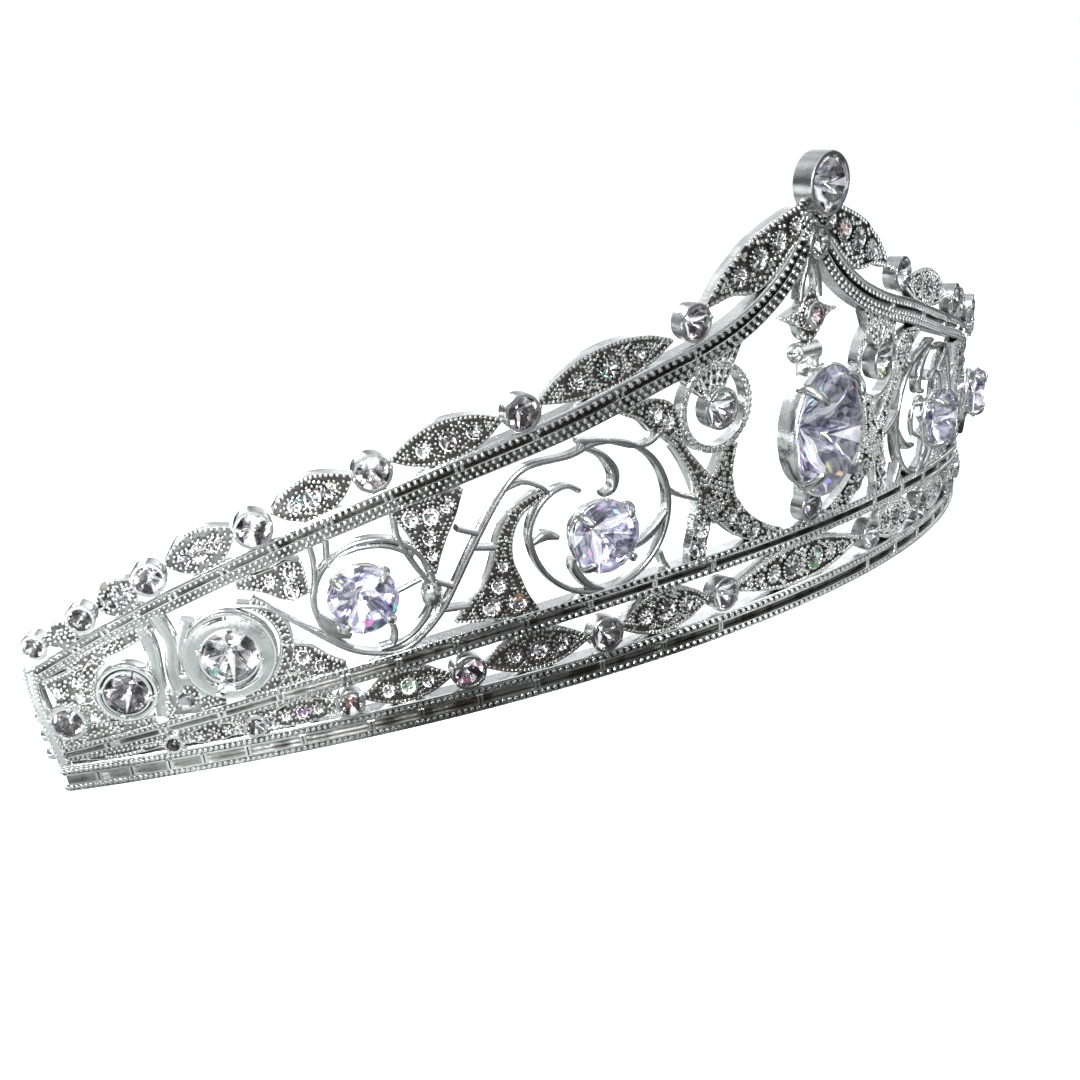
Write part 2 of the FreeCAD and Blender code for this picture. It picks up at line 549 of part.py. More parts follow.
def half_pieces():
    """The half at +X, in the order in which its pieces are soldered on."""
    nodes = {"small_stones": small_stones()}
    for part, rows, back in (("lower", LOWER_SETTINGS, -0.4), ("crest", CREST_SETTINGS, -0.2),
                             ("drop", [DROP + (DROP_STONE_R,)], -0.3)):
        pairs = [small_setting(s, h, radius, back) for s, h, radius in rows]
        nodes[part + "_stones"] = [stone for tube, stone in pairs]
        nodes[part + "_bezels"] = [tube for tube, stone in pairs]
    for part, (s, h), radius in (("large", STONE_ONE, MAIN_STONE_R),
                                 ("second", STONE_TWO, SECOND_STONE_R)):
        setting = basket(radius, -0.84 * radius, 0.38, CLAW_ANGLES)
        nodes[part + "_round_stones"] = [place(round_stone(radius), s, h, 3.0)]
        nodes[part + "_claw_setting"] = [place(setting, s, h, 3.0)]
    nodes["outer_stones"] = [place(round_stone(stone), s, h, 1.6) for s, h, cup, stone in OUTER_CUPS]
    nodes["outer_cups"] = [place(bezel(stone, 2.6, cup - stone), s, h, 1.6)
                           for s, h, cup, stone in OUTER_CUPS]
    nodes["upper_rail"] = [grooved(UPPER_RAIL)]
    nodes["end_bar"] = [end_bar()]
    nodes["main_scroll"] = [main_scroll()]
    nodes["second_ring"] = [second_ring()]
    nodes["hourglass"] = [hourglass()]
    nodes["drop_ring"] = [drop_ring()]
    nodes["lower_leaves"] = lower_leaves()
    nodes["crest_leaves"] = crest_leaves()
    nodes["set_panels"] = set_panels()
    nodes["open_bars"] = [open_bars()]
    nodes["scroll_straps"] = scroll_straps() + [oval_boss()]
    return nodes


def linking_pieces():
    """What closes the middle line last, between the two halves."""
    return {"centre_leaf": [centre_leaf()], "neck_loop": [neck_loop()],
            "kite_link": [kite_link()], "pendant_links": pendant_links()}


def trimmed(solids, kept):
    """Cuts pieces where they would run into those kept, so that they meet face to face."""
    result = []
    for solid in solids:
        near = [other for other in kept if other.BoundBox.intersect(solid.BoundBox)]
        rest = solid.cut(near) if near else solid
        result += [piece for piece in rest.Solids if piece.Volume > CRUMB]
    return result


def assemble():
    """All nodes: each name and the list of its solids."""
    nodes = middle_pieces()
    kept = [solid for solids in nodes.values() for solid in solids]
    for name, solids in half_pieces().items():
        if not name.endswith("stones"):
            solids = trimmed(solids, kept)
        kept += solids
        nodes[name + "_right"] = solids
        nodes[name + "_left"] = [solid.mirror(Vector(0, 0, 0), Vector(1, 0, 0))
                                 for solid in solids]
    for name, solids in linking_pieces().items():
        others = [solid for near in nodes.values() for solid in near]
        nodes[name] = trimmed(solids, others)
    return nodes


def write(nodes):
    """Centres the tiara over the origin, with its foot at z = 0, and writes one file per node."""
    os.makedirs("parts", exist_ok=True)
    box = Part.makeCompound([s for solids in nodes.values() for s in solids]).optimalBoundingBox()
    shift = Vector(0, -0.5 * (box.YMin + box.YMax), 0)
    print("moved along Y by", round(shift.y, 4), "size", box.XLength, box.YLength, box.ZLength)
    for name, solids in nodes.items():
        shape = solids[0] if len(solids) == 1 else Part.makeCompound(solids)
        shape.translate(shift)
        print(name, len(shape.Solids), "solids", round(shape.Volume, 2), "mm3",
              "valid" if shape.isValid() else "NOT VALID")
        shape.exportStep("parts/" + name + ".step")


write(assemble())
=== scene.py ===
# %% [markdown]
# # A bridal tiara on its CAD frame
# This file dresses a tiara whose sizes were settled in CAD.  It is taken to be a cast and
# soldered openwork band: three rails, scrolls and leaves between them, and cut stones in settings.
# Every visible piece is worked out here as a surface with numpy and stands for the CAD node of
# the same name.  The scene is in metres; the tables below are in millimetres, because that is
# how a jeweller reads a drawing.

import math

import bpy
import numpy as np
from mathutils import Matrix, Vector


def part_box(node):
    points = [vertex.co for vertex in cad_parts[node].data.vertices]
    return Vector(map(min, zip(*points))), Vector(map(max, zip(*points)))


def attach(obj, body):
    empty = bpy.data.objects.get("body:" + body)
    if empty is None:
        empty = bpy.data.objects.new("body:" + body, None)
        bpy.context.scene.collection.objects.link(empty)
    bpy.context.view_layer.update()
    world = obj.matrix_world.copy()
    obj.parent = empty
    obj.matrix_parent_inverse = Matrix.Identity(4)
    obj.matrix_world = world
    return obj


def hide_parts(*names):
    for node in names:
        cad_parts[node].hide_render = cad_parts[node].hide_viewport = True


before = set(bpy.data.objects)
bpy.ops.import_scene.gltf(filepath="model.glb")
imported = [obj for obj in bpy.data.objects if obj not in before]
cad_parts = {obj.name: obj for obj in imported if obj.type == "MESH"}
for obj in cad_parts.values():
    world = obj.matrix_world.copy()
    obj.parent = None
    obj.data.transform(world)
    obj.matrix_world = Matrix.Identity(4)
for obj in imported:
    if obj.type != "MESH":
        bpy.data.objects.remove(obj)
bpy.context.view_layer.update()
MM = 0.001
rng = np.random.default_rng(7)

# %% [markdown]
# ## The band as a bent sheet
# The real band is drawn flat and then bent round the head, leaning outward.  We do the same.
# A place on the flat drawing is (s, h, n): s runs along the band from its middle, h runs up it,
# and n stands off it.  One function bends the drawing onto a cone, and everything else can be
# laid out flat.  The alternative, modelling each piece in the round, would need a new slope and
# a new turn for every piece.

# %% Bend the drawing onto the cone
BASE_RADIUS = 107.8
LEAN = math.radians(10.95)
HALF_ARC = 87.0
RAIL_BACK = -0.9
foot_inside = RAIL_BACK * (math.cos(LEAN) + math.sin(LEAN) * math.tan(LEAN))
end_y = BASE_RADIUS - (BASE_RADIUS + foot_inside) * math.cos(HALF_ARC / BASE_RADIUS)
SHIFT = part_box("base_rail")[1].y / MM - end_y


def band(s, h, n):
    """A place on the drawing as a point in metres.  The turn is s over the base radius; the
    distance from the cone's axis is the base radius plus h times the sine of the lean plus n
    times its cosine; the height is h times the cosine less n times the sine."""
    s, h, n = np.broadcast_arrays(s, h, n)
    turn = s / BASE_RADIUS
    reach = BASE_RADIUS + h * math.sin(LEAN) + n * math.cos(LEAN)
    y = BASE_RADIUS - reach * np.cos(turn) + SHIFT
    z = h * math.cos(LEAN) - n * math.sin(LEAN)
    return np.stack([reach * np.sin(turn), y, z], axis=-1) * MM


def directions(s):
    """The band's unit directions at s.  Along it is the cosine and sine of the turn.  Up its
    slope and out of it both mix the level outward direction, the sine and less the cosine of
    the turn, with the upright one, by the sine and cosine of the lean."""
    turn = np.asarray(s, float) / BASE_RADIUS
    sin, cos, flat = np.sin(turn), np.cos(turn), np.zeros_like(turn)
    along = np.stack([cos, sin, flat], axis=-1)
    up = np.stack([sin * math.sin(LEAN), -cos * math.sin(LEAN), flat + math.cos(LEAN)], axis=-1)
    out = np.stack([sin * math.cos(LEAN), -cos * math.cos(LEAN), flat - math.sin(LEAN)], axis=-1)
    return along, up, out


print("the band's own front point lies", round(SHIFT, 2), "mm from the centre of the box")

# %% [markdown]
# ## Curves
# A goldsmith bends a strip through a few points and the metal finds a smooth line.  A
# Catmull-Rom curve does the same: it passes through every point.  Beads and grains have to be
# evenly spaced along it, so a second function walks the curve by length.

# %% Smooth curves and even steps
def smooth(points, per=10):
    """A Catmull-Rom curve through rows of numbers, with per steps between two rows.  Each new
    row is a cubic blend of the four rows about it."""
    p = np.asarray(points, float)
    p = np.vstack([2 * p[0] - p[1], p, 2 * p[-1] - p[-2]])
    u = np.linspace(0, len(p) - 3, (len(p) - 3) * per + 1)
    i = np.minimum(u.astype(int), len(p) - 4)
    t = (u - i)[:, None]
    a, b, c, d = p[i], p[i + 1], p[i + 2], p[i + 3]
    return b + 0.5 * t * (c - a + t * (2 * a - 5 * b + 4 * c - d + t * (3 * (b - c) + d - a)))


def lengths(path):
    """The distance walked along a path, row by row: the running sum of its straight steps."""
    steps = np.hypot(*np.diff(path[:, :2], axis=0).T)
    return np.concatenate([[0], np.cumsum(steps)])


def evenly(path, step):
    """The same path in rows an even distance apart, as near to step as fits."""
    walked = lengths(path)
    at = np.linspace(0, walked[-1], max(2, round(walked[-1] / step) + 1))
    return np.stack([np.interp(at, walked, column) for column in path.T], axis=1)


def across(path):
    """The unit direction to the left of the path at each row: the path's own direction, from
    the rows on either side, turned by a quarter."""
    ds, dh = np.gradient(path[:, 0]), np.gradient(path[:, 1])
    size = np.hypot(ds, dh)
    return np.stack([-dh / size, ds / size], axis=1)


def beside(path, distance):
    """The line that runs beside a path: each point moved to the left by the distance."""
    moved = path.copy()
    moved[:, :2] += across(path) * np.reshape(distance, (-1, 1))
    return moved


def circle(s, h, radius, start, end, count):
    """Points on a circle in the drawing, from one angle to another in degrees: the centre plus
    the radius times the cosine and sine of the angle."""
    a = np.radians(np.linspace(start, end, count))
    return np.stack([s + radius * np.cos(a), h + radius * np.sin(a)], axis=1)


def with_width(points, *halves):
    """Adds the half width to each point; several values are spread along the line."""
    points = np.asarray(points, float)[:, :2]
    spread = np.interp(np.linspace(0, 1, len(points)), np.linspace(0, 1, len(halves)), halves)
    return np.column_stack([points, spread])


quarter = lengths(smooth(circle(0, 0, 1, 0, 90, 5)))[-1]
print("a smooth quarter circle measures", round(quarter, 4), "and a true one", round(math.pi / 2, 4))

# %% [markdown]
# ## Collecting surfaces
# One piece of the tiara holds thousands of beads.  Making each as its own object would be slow,
# so a Pile gathers arrays of points and faces and becomes one mesh at the end.  Each point also
# carries a value from 0 to 1 for polish and painted shade: 1 where a polishing wheel reaches, 0 deep in a
# groove.
# The materials read it to dull the recesses and to darken them with painted shade; it also darkens the
# feet of beads, the faces of straps and some whole parts as painted shade.

# %% The pile
class Pile:
    """Points, their polish and painted shade, and faces that will be one mesh."""

    def __init__(self):
        self.points, self.tones, self.faces, self.count = [], [], [], 0

    def add(self, points, faces, tone=1.0, shade_smooth=True, backs=()):
        """Adds points (any shape, three numbers last) and lists of equal-sided faces.  The
        lists numbered in backs take the piece's second material."""
        points = np.asarray(points, float).reshape(-1, 3)
        self.points.append(points)
        self.tones.append(np.broadcast_to(np.asarray(tone, float).ravel(), len(points)))
        for i, group in enumerate(faces):
            self.faces.append((np.asarray(group) + self.count, shade_smooth, i in backs))
        self.count += len(points)

    def mesh(self, name, mirrored):
        """The pile as a mesh.  Mirroring flips X and turns every face's order round, so that
        faces still point outward."""
        data = bpy.data.meshes.new(name)
        points = np.concatenate(self.points) * (-1 if mirrored else 1, 1, 1)
        groups = [group[:, ::-1] if mirrored else group for group, _, _ in self.faces]
        sizes = np.concatenate([np.full(len(group), group.shape[1]) for group in groups])
        soft = np.concatenate([np.full(len(group), flag) for group, flag, _ in self.faces])
        back = np.concatenate([np.full(len(group), flag) for group, _, flag in self.faces])
        corners = np.concatenate([group.ravel() for group in groups])
        data.vertices.add(len(points))
        data.vertices.foreach_set("co", points.ravel())
        data.loops.add(len(corners))
        data.loops.foreach_set("vertex_index", corners.astype(np.int32))
        data.polygons.add(len(sizes))
        starts = np.concatenate([[0], np.cumsum(sizes)[:-1]])
        data.polygons.foreach_set("loop_start", starts.astype(np.int32))
        data.update(calc_edges=True)
        data.polygons.foreach_set("use_smooth", soft)
        data.polygons.foreach_set("material_index", back.astype(np.int32))
        data.set_sharp_from_angle(angle=math.radians(38))
        tone = data.attributes.new("tone", "FLOAT", "POINT")
        tone.data.foreach_set("value", np.concatenate(self.tones).astype(np.float32))
        facet = data.attributes.new("facet", "FLOAT", "FACE")
        numbers = np.random.default_rng(3).random(len(sizes))
        facet.data.foreach_set("value", numbers.astype(np.float32))
        return data


print("a new pile holds", Pile().count, "points")

# %% [markdown]
# ## From a pile to a piece
# The CAD node stays in the file for the motion tests, so the visual piece has to ride on the
# same body, hide that node.  The tiara is the same on both sides, so a pair is modelled once
# and mirrored in its mesh; a mirror modifier would join both halves into one object, and the
# CAD has two.

# %% Pieces and pairs
def make(name, pile, materials, mirrored=False):
    """Turns a pile into the piece that stands for the CAD node of the same name."""
    data = pile.mesh(name, mirrored)
    for material in materials:
        data.materials.append(material)
    thing = bpy.data.objects.new(name + ".look", data)
    bpy.context.scene.collection.objects.link(thing)
    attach(thing, "root")
    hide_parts(name)
    print(name, "has", len(data.polygons), "faces")


def make_pair(name, pile, materials):
    """The piece modelled at +X and its mirror image."""
    make(name + "_right", pile, materials)
    make(name + "_left", pile, materials, mirrored=True)


print(len(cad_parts), "nodes wait for their pieces")

# %% [markdown]
# ## Two ways to make a surface
# Bars, rails and leaves are a profile carried along a path.  Rings, cups and bezels are a
# profile turned about an axis.  Both are grids of points, so one function makes their faces.
# Curve objects with a bevel would give bars too, but not a groove or a tone for each point.

# %% Grids and bars
def grid(rows, columns, close_rows=False, close_columns=True):
    """Four-sided faces on a grid of points, numbered row by row.  Each face joins a point, the
    next in its row, and the two under them in the next row."""
    i = np.arange(rows if close_rows else rows - 1)[:, None]
    j = np.arange(columns if close_columns else columns - 1)[None, :]
    i2, j2 = (i + 1) % rows, (j + 1) % columns
    corner = [i * columns + j, i * columns + j2, i2 * columns + j2, i2 * columns + j]
    return np.stack(corner, axis=-1).reshape(-1, 4)


def bar(pile, path, profile, step=0.5):
    """A profile carried along a path of (s, h, half width).  A profile row is (share, shift, n,
    polish and painted shade): the point lies share times the half width, plus shift, to the left of the
    path, but never past the middle line, where the two sides of a thin tip would cross."""
    least = 0.03
    path = evenly(smooth(path), step)
    share, shift, n, tone = np.asarray(profile, float).T
    hand = np.sign(share)
    reach = share * path[:, 2:3] + shift
    reach = np.where(hand == 0, reach, hand * np.maximum(hand * reach, least))
    side = across(path)
    s = path[:, :1] + side[:, :1] * reach
    h = path[:, 1:2] + side[:, 1:] * reach
    rows, columns = reach.shape
    first = np.arange(columns)[::-1][None]
    last = np.arange((rows - 1) * columns, rows * columns)[None]
    tones = np.broadcast_to(tone, reach.shape)
    pile.add(band(s, h, n[None, :]), [grid(rows, columns), first, last], tones)


def rounded(half_depth, middle, corners=16, squareness=3.0):
    """A soft-cornered oblong profile for polished bars.  Each coordinate is the cosine or the
    sine of the angle, its size raised to 2 over squareness and its sign kept."""
    a = np.linspace(0, 2 * math.pi, corners, endpoint=False) + math.pi / corners
    x = np.sign(np.cos(a)) * np.abs(np.cos(a)) ** (2 / squareness)
    z = np.sign(np.sin(a)) * np.abs(np.sin(a)) ** (2 / squareness)
    return np.stack([x, 0 * x, middle + half_depth * z, 0 * x + 1], axis=1)


print("a soft-cornered profile has", len(rounded(1, 0)), "points")

# %% [markdown]
# ## Turned shapes, and where they stand
# A jeweller turns a bezel once and then solders copies along the band.  We also make a shape
# once, about its own upright axis in millimetres, and set copies of it on the band, each
# squared up to the band's directions at its own place.

# %% Turned shapes, and setting them on the band
def turned(profile, steps=40, closed=True):
    """A profile of (radius, height) turned about the upright axis: x and y are the radius times
    the cosine and the sine of the angle.  An open profile gets flat ends."""
    r, z = np.asarray(profile, float).T
    a = np.linspace(0, 2 * math.pi, steps, endpoint=False)[:, None]
    points = np.stack([r * np.cos(a), r * np.sin(a), np.broadcast_to(z, (steps, len(r)))], -1)
    faces = [grid(steps, len(r), close_rows=True, close_columns=closed)[:, ::-1]]
    if not closed:
        first = np.arange(steps) * len(r)
        faces += [first[::-1][None], (first + len(r) - 1)[None]]
    return points.reshape(-1, 3), faces


def put(pile, shape, s, h, n, size=1.0, spin=0.0, tone=1.0, shade_smooth=True, backs=()):
    """Sets copies of a shape on the band, one for each s: x runs along the band, y up it and z
    out of it, after a turn by spin (in radians) about z."""
    points, faces = shape
    s, h, n, size, spin = np.broadcast_arrays(*np.atleast_1d(s, h, n, size, spin))
    along, up, out = (d[:, None, :] for d in directions(s))
    x = points[:, 0] * np.cos(spin)[:, None] - points[:, 1] * np.sin(spin)[:, None]
    y = points[:, 0] * np.sin(spin)[:, None] + points[:, 1] * np.cos(spin)[:, None]
    offset = x[..., None] * along + y[..., None] * up + points[:, 2, None] * out
    placed = band(s, h, n)[:, None, :] + offset * MM * size[:, None, None]
    jump = len(points) * np.arange(len(s))[:, None, None]
    many = [(np.asarray(group)[None] + jump).reshape(-1, np.shape(group)[1]) for group in faces]
    tones = np.broadcast_to(tone, (len(s), len(points)))
    pile.add(placed, many, tones, shade_smooth, backs)


print("a square profile turned in 40 steps has",
      len(turned([(1, 0), (2, 0), (2, 1), (1, 1)])[1][0]), "faces")

# %% [markdown]
# ## Beads
# Milgrain is a row of tiny beads pressed along an edge with a wheel, and small stones are held
# by beads raised from the metal with a graver.  Both are domes about half a millimetre across.
# There are thousands, so one bead has only a few faces; smooth shading hides that.  A bump map
# would be cheaper, but it leaves the outline of the edge flat, and here the outline sparkles.

# %% One bead
def bead_shape(sides=7):
    """A dome of radius 1: rings at latitudes of -30, 15 and 50 degrees, each with the cosine as
    its radius and the sine as its height, and a top point."""
    lift = np.radians([-30, 15, 50])
    a = np.linspace(0, 2 * math.pi, sides, endpoint=False)
    ring = [np.stack([math.cos(e) * np.cos(a), math.cos(e) * np.sin(a),
                      np.full(sides, math.sin(e))], axis=1) for e in lift]
    points = np.vstack(ring + [[[0, 0, 1]]])
    top = 2 * sides + np.arange(sides)
    roof = np.stack([top, np.roll(top, -1), np.full(sides, 3 * sides)], axis=1)
    foot = np.arange(sides)[::-1][None]
    # painted shade: each bead's foot ring is darkened and dulled, its top kept bright
    tone = np.repeat([0.25, 0.85, 1.0], sides).tolist() + [1.0]
    return (points, [grid(3, sides), roof, foot]), np.array(tone)


BEAD, BEAD_POLISH_SHADE = bead_shape()
print("one bead has", sum(len(group) for group in BEAD[1]), "faces")

# %% [markdown]
# ## Rows of beads
# Milgrain is even along a short stretch.  Here it is finer toward the low ends, and coarser
# near the middle so that the beads can be told apart; the steps are listed.  Equal steps
# in millimetres will not do, so the row is measured in beads: each stretch counts for its
# length over the step there, and the beads stand at the whole numbers.

# %% Milgrain
BEAD_STATIONS = (20, 50, 85)      # distances from the middle of the band
BEAD_STEPS = (0.92, 0.64, 0.5)    # the step between beads at those distances


def bead_row(pile, path, share, n, radius=0.33):
    """Beads on the line that runs beside a path at a share of its half width.  They stand
    closer and are smaller toward the ends of the band, and where the path is narrow."""
    path = evenly(smooth(path), 0.3)
    line = beside(path, share * path[:, 2])
    far = np.abs(line[:, 0])
    step = np.interp(far, BEAD_STATIONS, BEAD_STEPS)
    counted = np.concatenate([[0], np.cumsum(np.diff(lengths(line)) / step[1:])])
    at = np.linspace(0, counted[-1], max(2, round(counted[-1]) + 1))
    size = radius * np.interp(far, (20, 85), (1.05, 0.85)) * line[:, 2] / path[:, 2].max()
    s, h, size = [np.interp(at, counted, values) for values in (line[:, 0], line[:, 1], size)]
    put(pile, BEAD, s, h, n, size, tone=BEAD_POLISH_SHADE)


print("milgrain steps, mm:", dict(zip(BEAD_STATIONS, BEAD_STEPS)))

# %% [markdown]
# ## Fields of beads
# Between the small stones the graver fills every free spot.  Random points would clump and a
# square grid would look like a sieve.  Staggered rows that follow the leaf fill it evenly, and
# the points too near a stone or another point are dropped.

# %% Grain setting
def thinned(points, gap):
    """Drops every point that has an earlier one nearer than gap."""
    apart = np.hypot(*(points[:, None] - points[None]).transpose(2, 0, 1))
    return points[~np.any(np.tril(apart < gap, -1), axis=1)]


def clear_of(points, stones, margin):
    """The points that lie outside every stone (s, h, radius) by at least the margin."""
    if not len(stones):
        return points
    s, h, r = np.asarray(stones, float).T
    away = np.hypot(points[:, :1] - s, points[:, 1:] - h) > r + margin
    return points[np.all(away, axis=1)]


def spread(path, edge, pitch):
    """Staggered points over a bar, up to an edge inside its border: first its two border rows,
    then rows across it, every other one moved by half a pitch."""
    most = 12
    rows = evenly(smooth(path), pitch)
    reach = np.maximum(rows[:, 2] - edge, 0)
    border = np.vstack([beside(rows, reach), beside(rows, -reach)])[:, :2]
    rows = evenly(smooth(path), 0.87 * pitch)
    reach = rows[:, 2:3] - edge - 0.6 * pitch
    stagger = 0.5 * (np.arange(len(rows)) % 2)[:, None]
    offset = pitch * (np.arange(-most, most + 1)[None] + stagger)
    filled = rows[:, None, :2] + across(rows)[:, None] * offset[..., None]
    return np.vstack([border, filled[np.abs(offset) <= reach]])


def bead_field(pile, paths, stones, n, edge=0.32, radius=0.25, pitch=0.46):
    """Covers bars with beads, keeps them off the stones, and rings each stone with beads."""
    ring_step, ring_bead, above = 0.5, 0.21, 0.1
    points = np.vstack([spread(path, edge, pitch) for path in paths])
    points = thinned(clear_of(points, stones, radius + 0.2), 0.8 * pitch)
    size = radius * rng.uniform(0.85, 1.12, len(points))
    put(pile, BEAD, points[:, 0], points[:, 1], n, size, tone=BEAD_POLISH_SHADE)
    for s, h, r in stones:
        count = max(6, round(2 * math.pi * (r + 0.12) / ring_step))
        ring = circle(s, h, r + 0.1, 0, 360 - 360 / count, count)
        put(pile, BEAD, ring[:, 0], ring[:, 1], n + above, ring_bead, tone=BEAD_POLISH_SHADE)


print("a bar of 10 by 2 mm takes",
      len(thinned(spread([(0, 0, 1), (10, 0, 1)], 0.32, 0.46), 0.37)), "beads")

# %% [markdown]
# ## Wires for the materials
# A finish is a small network of nodes.  Built by hand it is many clicks; in Python it is easier
# to read as arithmetic.  One class wraps a node's output, so that adding or multiplying two of
# them adds the Math node for us, and one method makes every other node.

# %% A socket with arithmetic
class Wire:
    """One output of a node.  Sums, differences and products of wires add Math nodes."""

    def __init__(self, tree, socket=None):
        self.tree, self.socket = tree, socket

    def node(self, kind, settings=None, inputs=None, output=0):
        """Adds a node: first its settings, then its inputs, which are values or wires."""
        new = self.tree.nodes.new(kind)
        for name, value in (settings or {}).items():
            setattr(new, name, value)
        for key, value in (inputs or {}).items():
            if isinstance(value, Wire):
                self.tree.links.new(value.socket, new.inputs[key])
            else:
                new.inputs[key].default_value = value
        return Wire(self.tree, new.outputs[output] if len(new.outputs) else None)

    def maths(self, operation, first, second=0.0):
        """One Math node on two values or wires."""
        return self.node("ShaderNodeMath", {"operation": operation}, {0: first, 1: second})

    def __add__(self, other):
        """This wire plus a value or a wire."""
        return self.maths("ADD", self, other)

    def __sub__(self, other):
        """This wire less a value or a wire."""
        return self.maths("SUBTRACT", self, other)

    def __rsub__(self, other):
        """A value less this wire, so that 1 - mask works."""
        return self.maths("SUBTRACT", other, self)

    def __mul__(self, other):
        """This wire times a value or a wire."""
        return self.maths("MULTIPLY", self, other)

    def __gt__(self, other):
        """1 where this wire is above a value or a wire, and 0 elsewhere."""
        return self.maths("GREATER_THAN", self, other)

    def __abs__(self):
        """This wire without its sign."""
        return self.maths("ABSOLUTE", self)

    __radd__ = __add__
    __rmul__ = __mul__

    def spread_to(self, low, high, to_low, to_high):
        """Maps low..high onto to_low..to_high and stops at both ends."""
        ends = {"Value": self, 1: low, 2: high, 3: to_low, 4: to_high}
        return self.node("ShaderNodeMapRange", {}, ends)

    def mix(self, first, second):
        """A colour between two, by this wire's value."""
        return self.node("ShaderNodeMix", {"data_type": "RGBA"},
                         {0: self, 6: first, 7: second}, output=2)

    def laid_on(self, under, share, way="MIX"):
        """This colour laid over another by a share: mixed with it, or added to it."""
        return self.node("ShaderNodeMix", {"data_type": "RGBA", "blend_type": way},
                         {0: share, 6: under, 7: self}, output=2)


print("a wire answers to", [word for word in vars(Wire) if not word.startswith("_")])

# %% [markdown]
# ## Starting and ending a material
# Every finish starts as an empty network and ends in one shader and one output, so two short
# functions do both ends.  What varies over a surface goes into its colour, roughness, normal or
# glow; plain numbers are set on the shader itself.

# %% Starting and ending a material
def new_material(name):
    """An empty node material and the wire to build it with."""
    material = bpy.data.materials.new(name)
    material.use_nodes = True
    material.node_tree.nodes.clear()
    return material, Wire(material.node_tree)


def finish_material(wire, kind, settings, inputs):
    """Ends a material in the given shader."""
    shader = wire.node(kind, settings, inputs)
    wire.node("ShaderNodeOutputMaterial", {}, {"Surface": shader})


print("materials before ours:", len(bpy.data.materials))
# %% [markdown]
# ## Silver
# The metal is a bright silver plating over a cast alloy.  A metal's colour is its reflection, so
# where a wheel reaches the raised parts its colour is a light, slightly cool grey and its roughness low;
# the recesses are made dull, and their colour is darkened as painted shade.  Noise at two sizes gives the
# faint unevenness of a casting.  Toward its ends the band is made brighter as painted light, which follows
# how it looks and is not a known change of finish.  The three finishes differ in how rough, how dark
# and how uneven they are.

# %% Three silver finishes
def silver(name, bright, dark, smooth_roughness, dull_roughness, unevenness):
    """A metallic finish.  Its colour goes from dark to bright, the dark end being painted shade, and its
    roughness from dull to smooth as the polish and painted shade value goes up; painted light raises it
    toward the ends of the band, it loses where a slow noise is high, and both noises make bumps."""
    material, wire = new_material(name)
    place = wire.node("ShaderNodeTexCoord", output=3)
    tone = wire.node("ShaderNodeAttribute", {"attribute_name": "tone"}, output=2)
    cloud = wire.node("ShaderNodeTexNoise", {}, {"Vector": place, "Scale": 420.0, "Detail": 3.0})
    grain = wire.node("ShaderNodeTexNoise", {}, {"Vector": place, "Scale": 2600.0, "Detail": 2.0})
    # painted light: the metal's colour is brightened toward both ends of the band
    from_middle = abs(wire.node("ShaderNodeSeparateXYZ", {}, {"Vector": place}))
    painted_end_light = from_middle.spread_to(0.048, 0.070, 0.0, 0.32)
    polish_shade_light = tone + painted_end_light - 0.35 * cloud.spread_to(0.45, 0.75, 0.0, 1.0)
    colour = polish_shade_light.spread_to(0.0, 0.9, 0.0, 1.0).mix(dark, bright)
    dullness = polish_shade_light.spread_to(0.0, 0.9, dull_roughness, smooth_roughness)
    bump = wire.node("ShaderNodeBump", {}, {"Strength": unevenness, "Distance": 0.00008,
                                           "Height": grain + 0.8 * cloud})
    finish_material(wire, "ShaderNodeBsdfPrincipled", {},
                    {"Base Color": colour, "Metallic": 1.0, "Roughness": dullness,
                     "Normal": bump})
    return material


# each finish's dark colour is the painted shade of its recesses, its bright colour the polished metal
POLISHED = silver("polished silver", (0.80, 0.81, 0.80, 1), (0.20, 0.20, 0.20, 1),
                  0.10, 0.35, 0.35)
BEADED = silver("beaded silver", (0.86, 0.87, 0.86, 1), (0.045, 0.040, 0.038, 1),
                0.14, 0.45, 0.5)
DARK_SET = silver("dark set silver", (0.90, 0.90, 0.89, 1), (0.115, 0.105, 0.100, 1),
                  0.13, 0.45, 0.5)
print("metals:", POLISHED.name, "|", BEADED.name, "|", DARK_SET.name)

# %% [markdown]
# ## Stones
# The stones are taken to be cut glass and zirconia.  Light enters through the crown,
# bounces off the lower facets and leaves again, which is why one facet is white and the next is
# dark.  So a stone gets two materials: clear glass on its crown, and a mirror foil on its lower
# facets, seen from inside.  The foil's light and dark facets are painted reflection, each facet with its
# own painted shade, and the foil also glows a little with painted light in place of inner reflections.  A
# few facets get a painted white glint, and a few patches glow in one pure colour, painted in place of a
# prism's fire.

# %% Crown glass
def cut_glass(name, tint, bending):
    """Clear glass with a faint ripple left by the polishing lap."""
    material, wire = new_material(name)
    place = wire.node("ShaderNodeTexCoord", output=3)
    lap = wire.node("ShaderNodeTexNoise", {}, {"Vector": place, "Scale": 900.0, "Detail": 2.0})
    bump = wire.node("ShaderNodeBump", {}, {"Strength": 0.03, "Distance": 0.00001, "Height": lap})
    finish_material(wire, "ShaderNodeBsdfPrincipled", {},
                    {"Base Color": tint, "Roughness": lap.spread_to(0.3, 0.7, 0.0, 0.02),
                     "IOR": bending, "Transmission Weight": 1.0, "Normal": bump})
    return material


thrown_back = [round(((bending - 1) / (bending + 1)) ** 2, 3) for bending in (1.6, 1.95)]
print("glass and zirconia throw back", thrown_back, "of the light that meets them head on")

# A Voronoi texture breaks the foil into straight-edged patches of painted reflection, as the facets look
# when they mirror each other, and each patch has three random numbers: the first picks its painted shade,
# the second whether it glows with painted fire, and the third its hue.

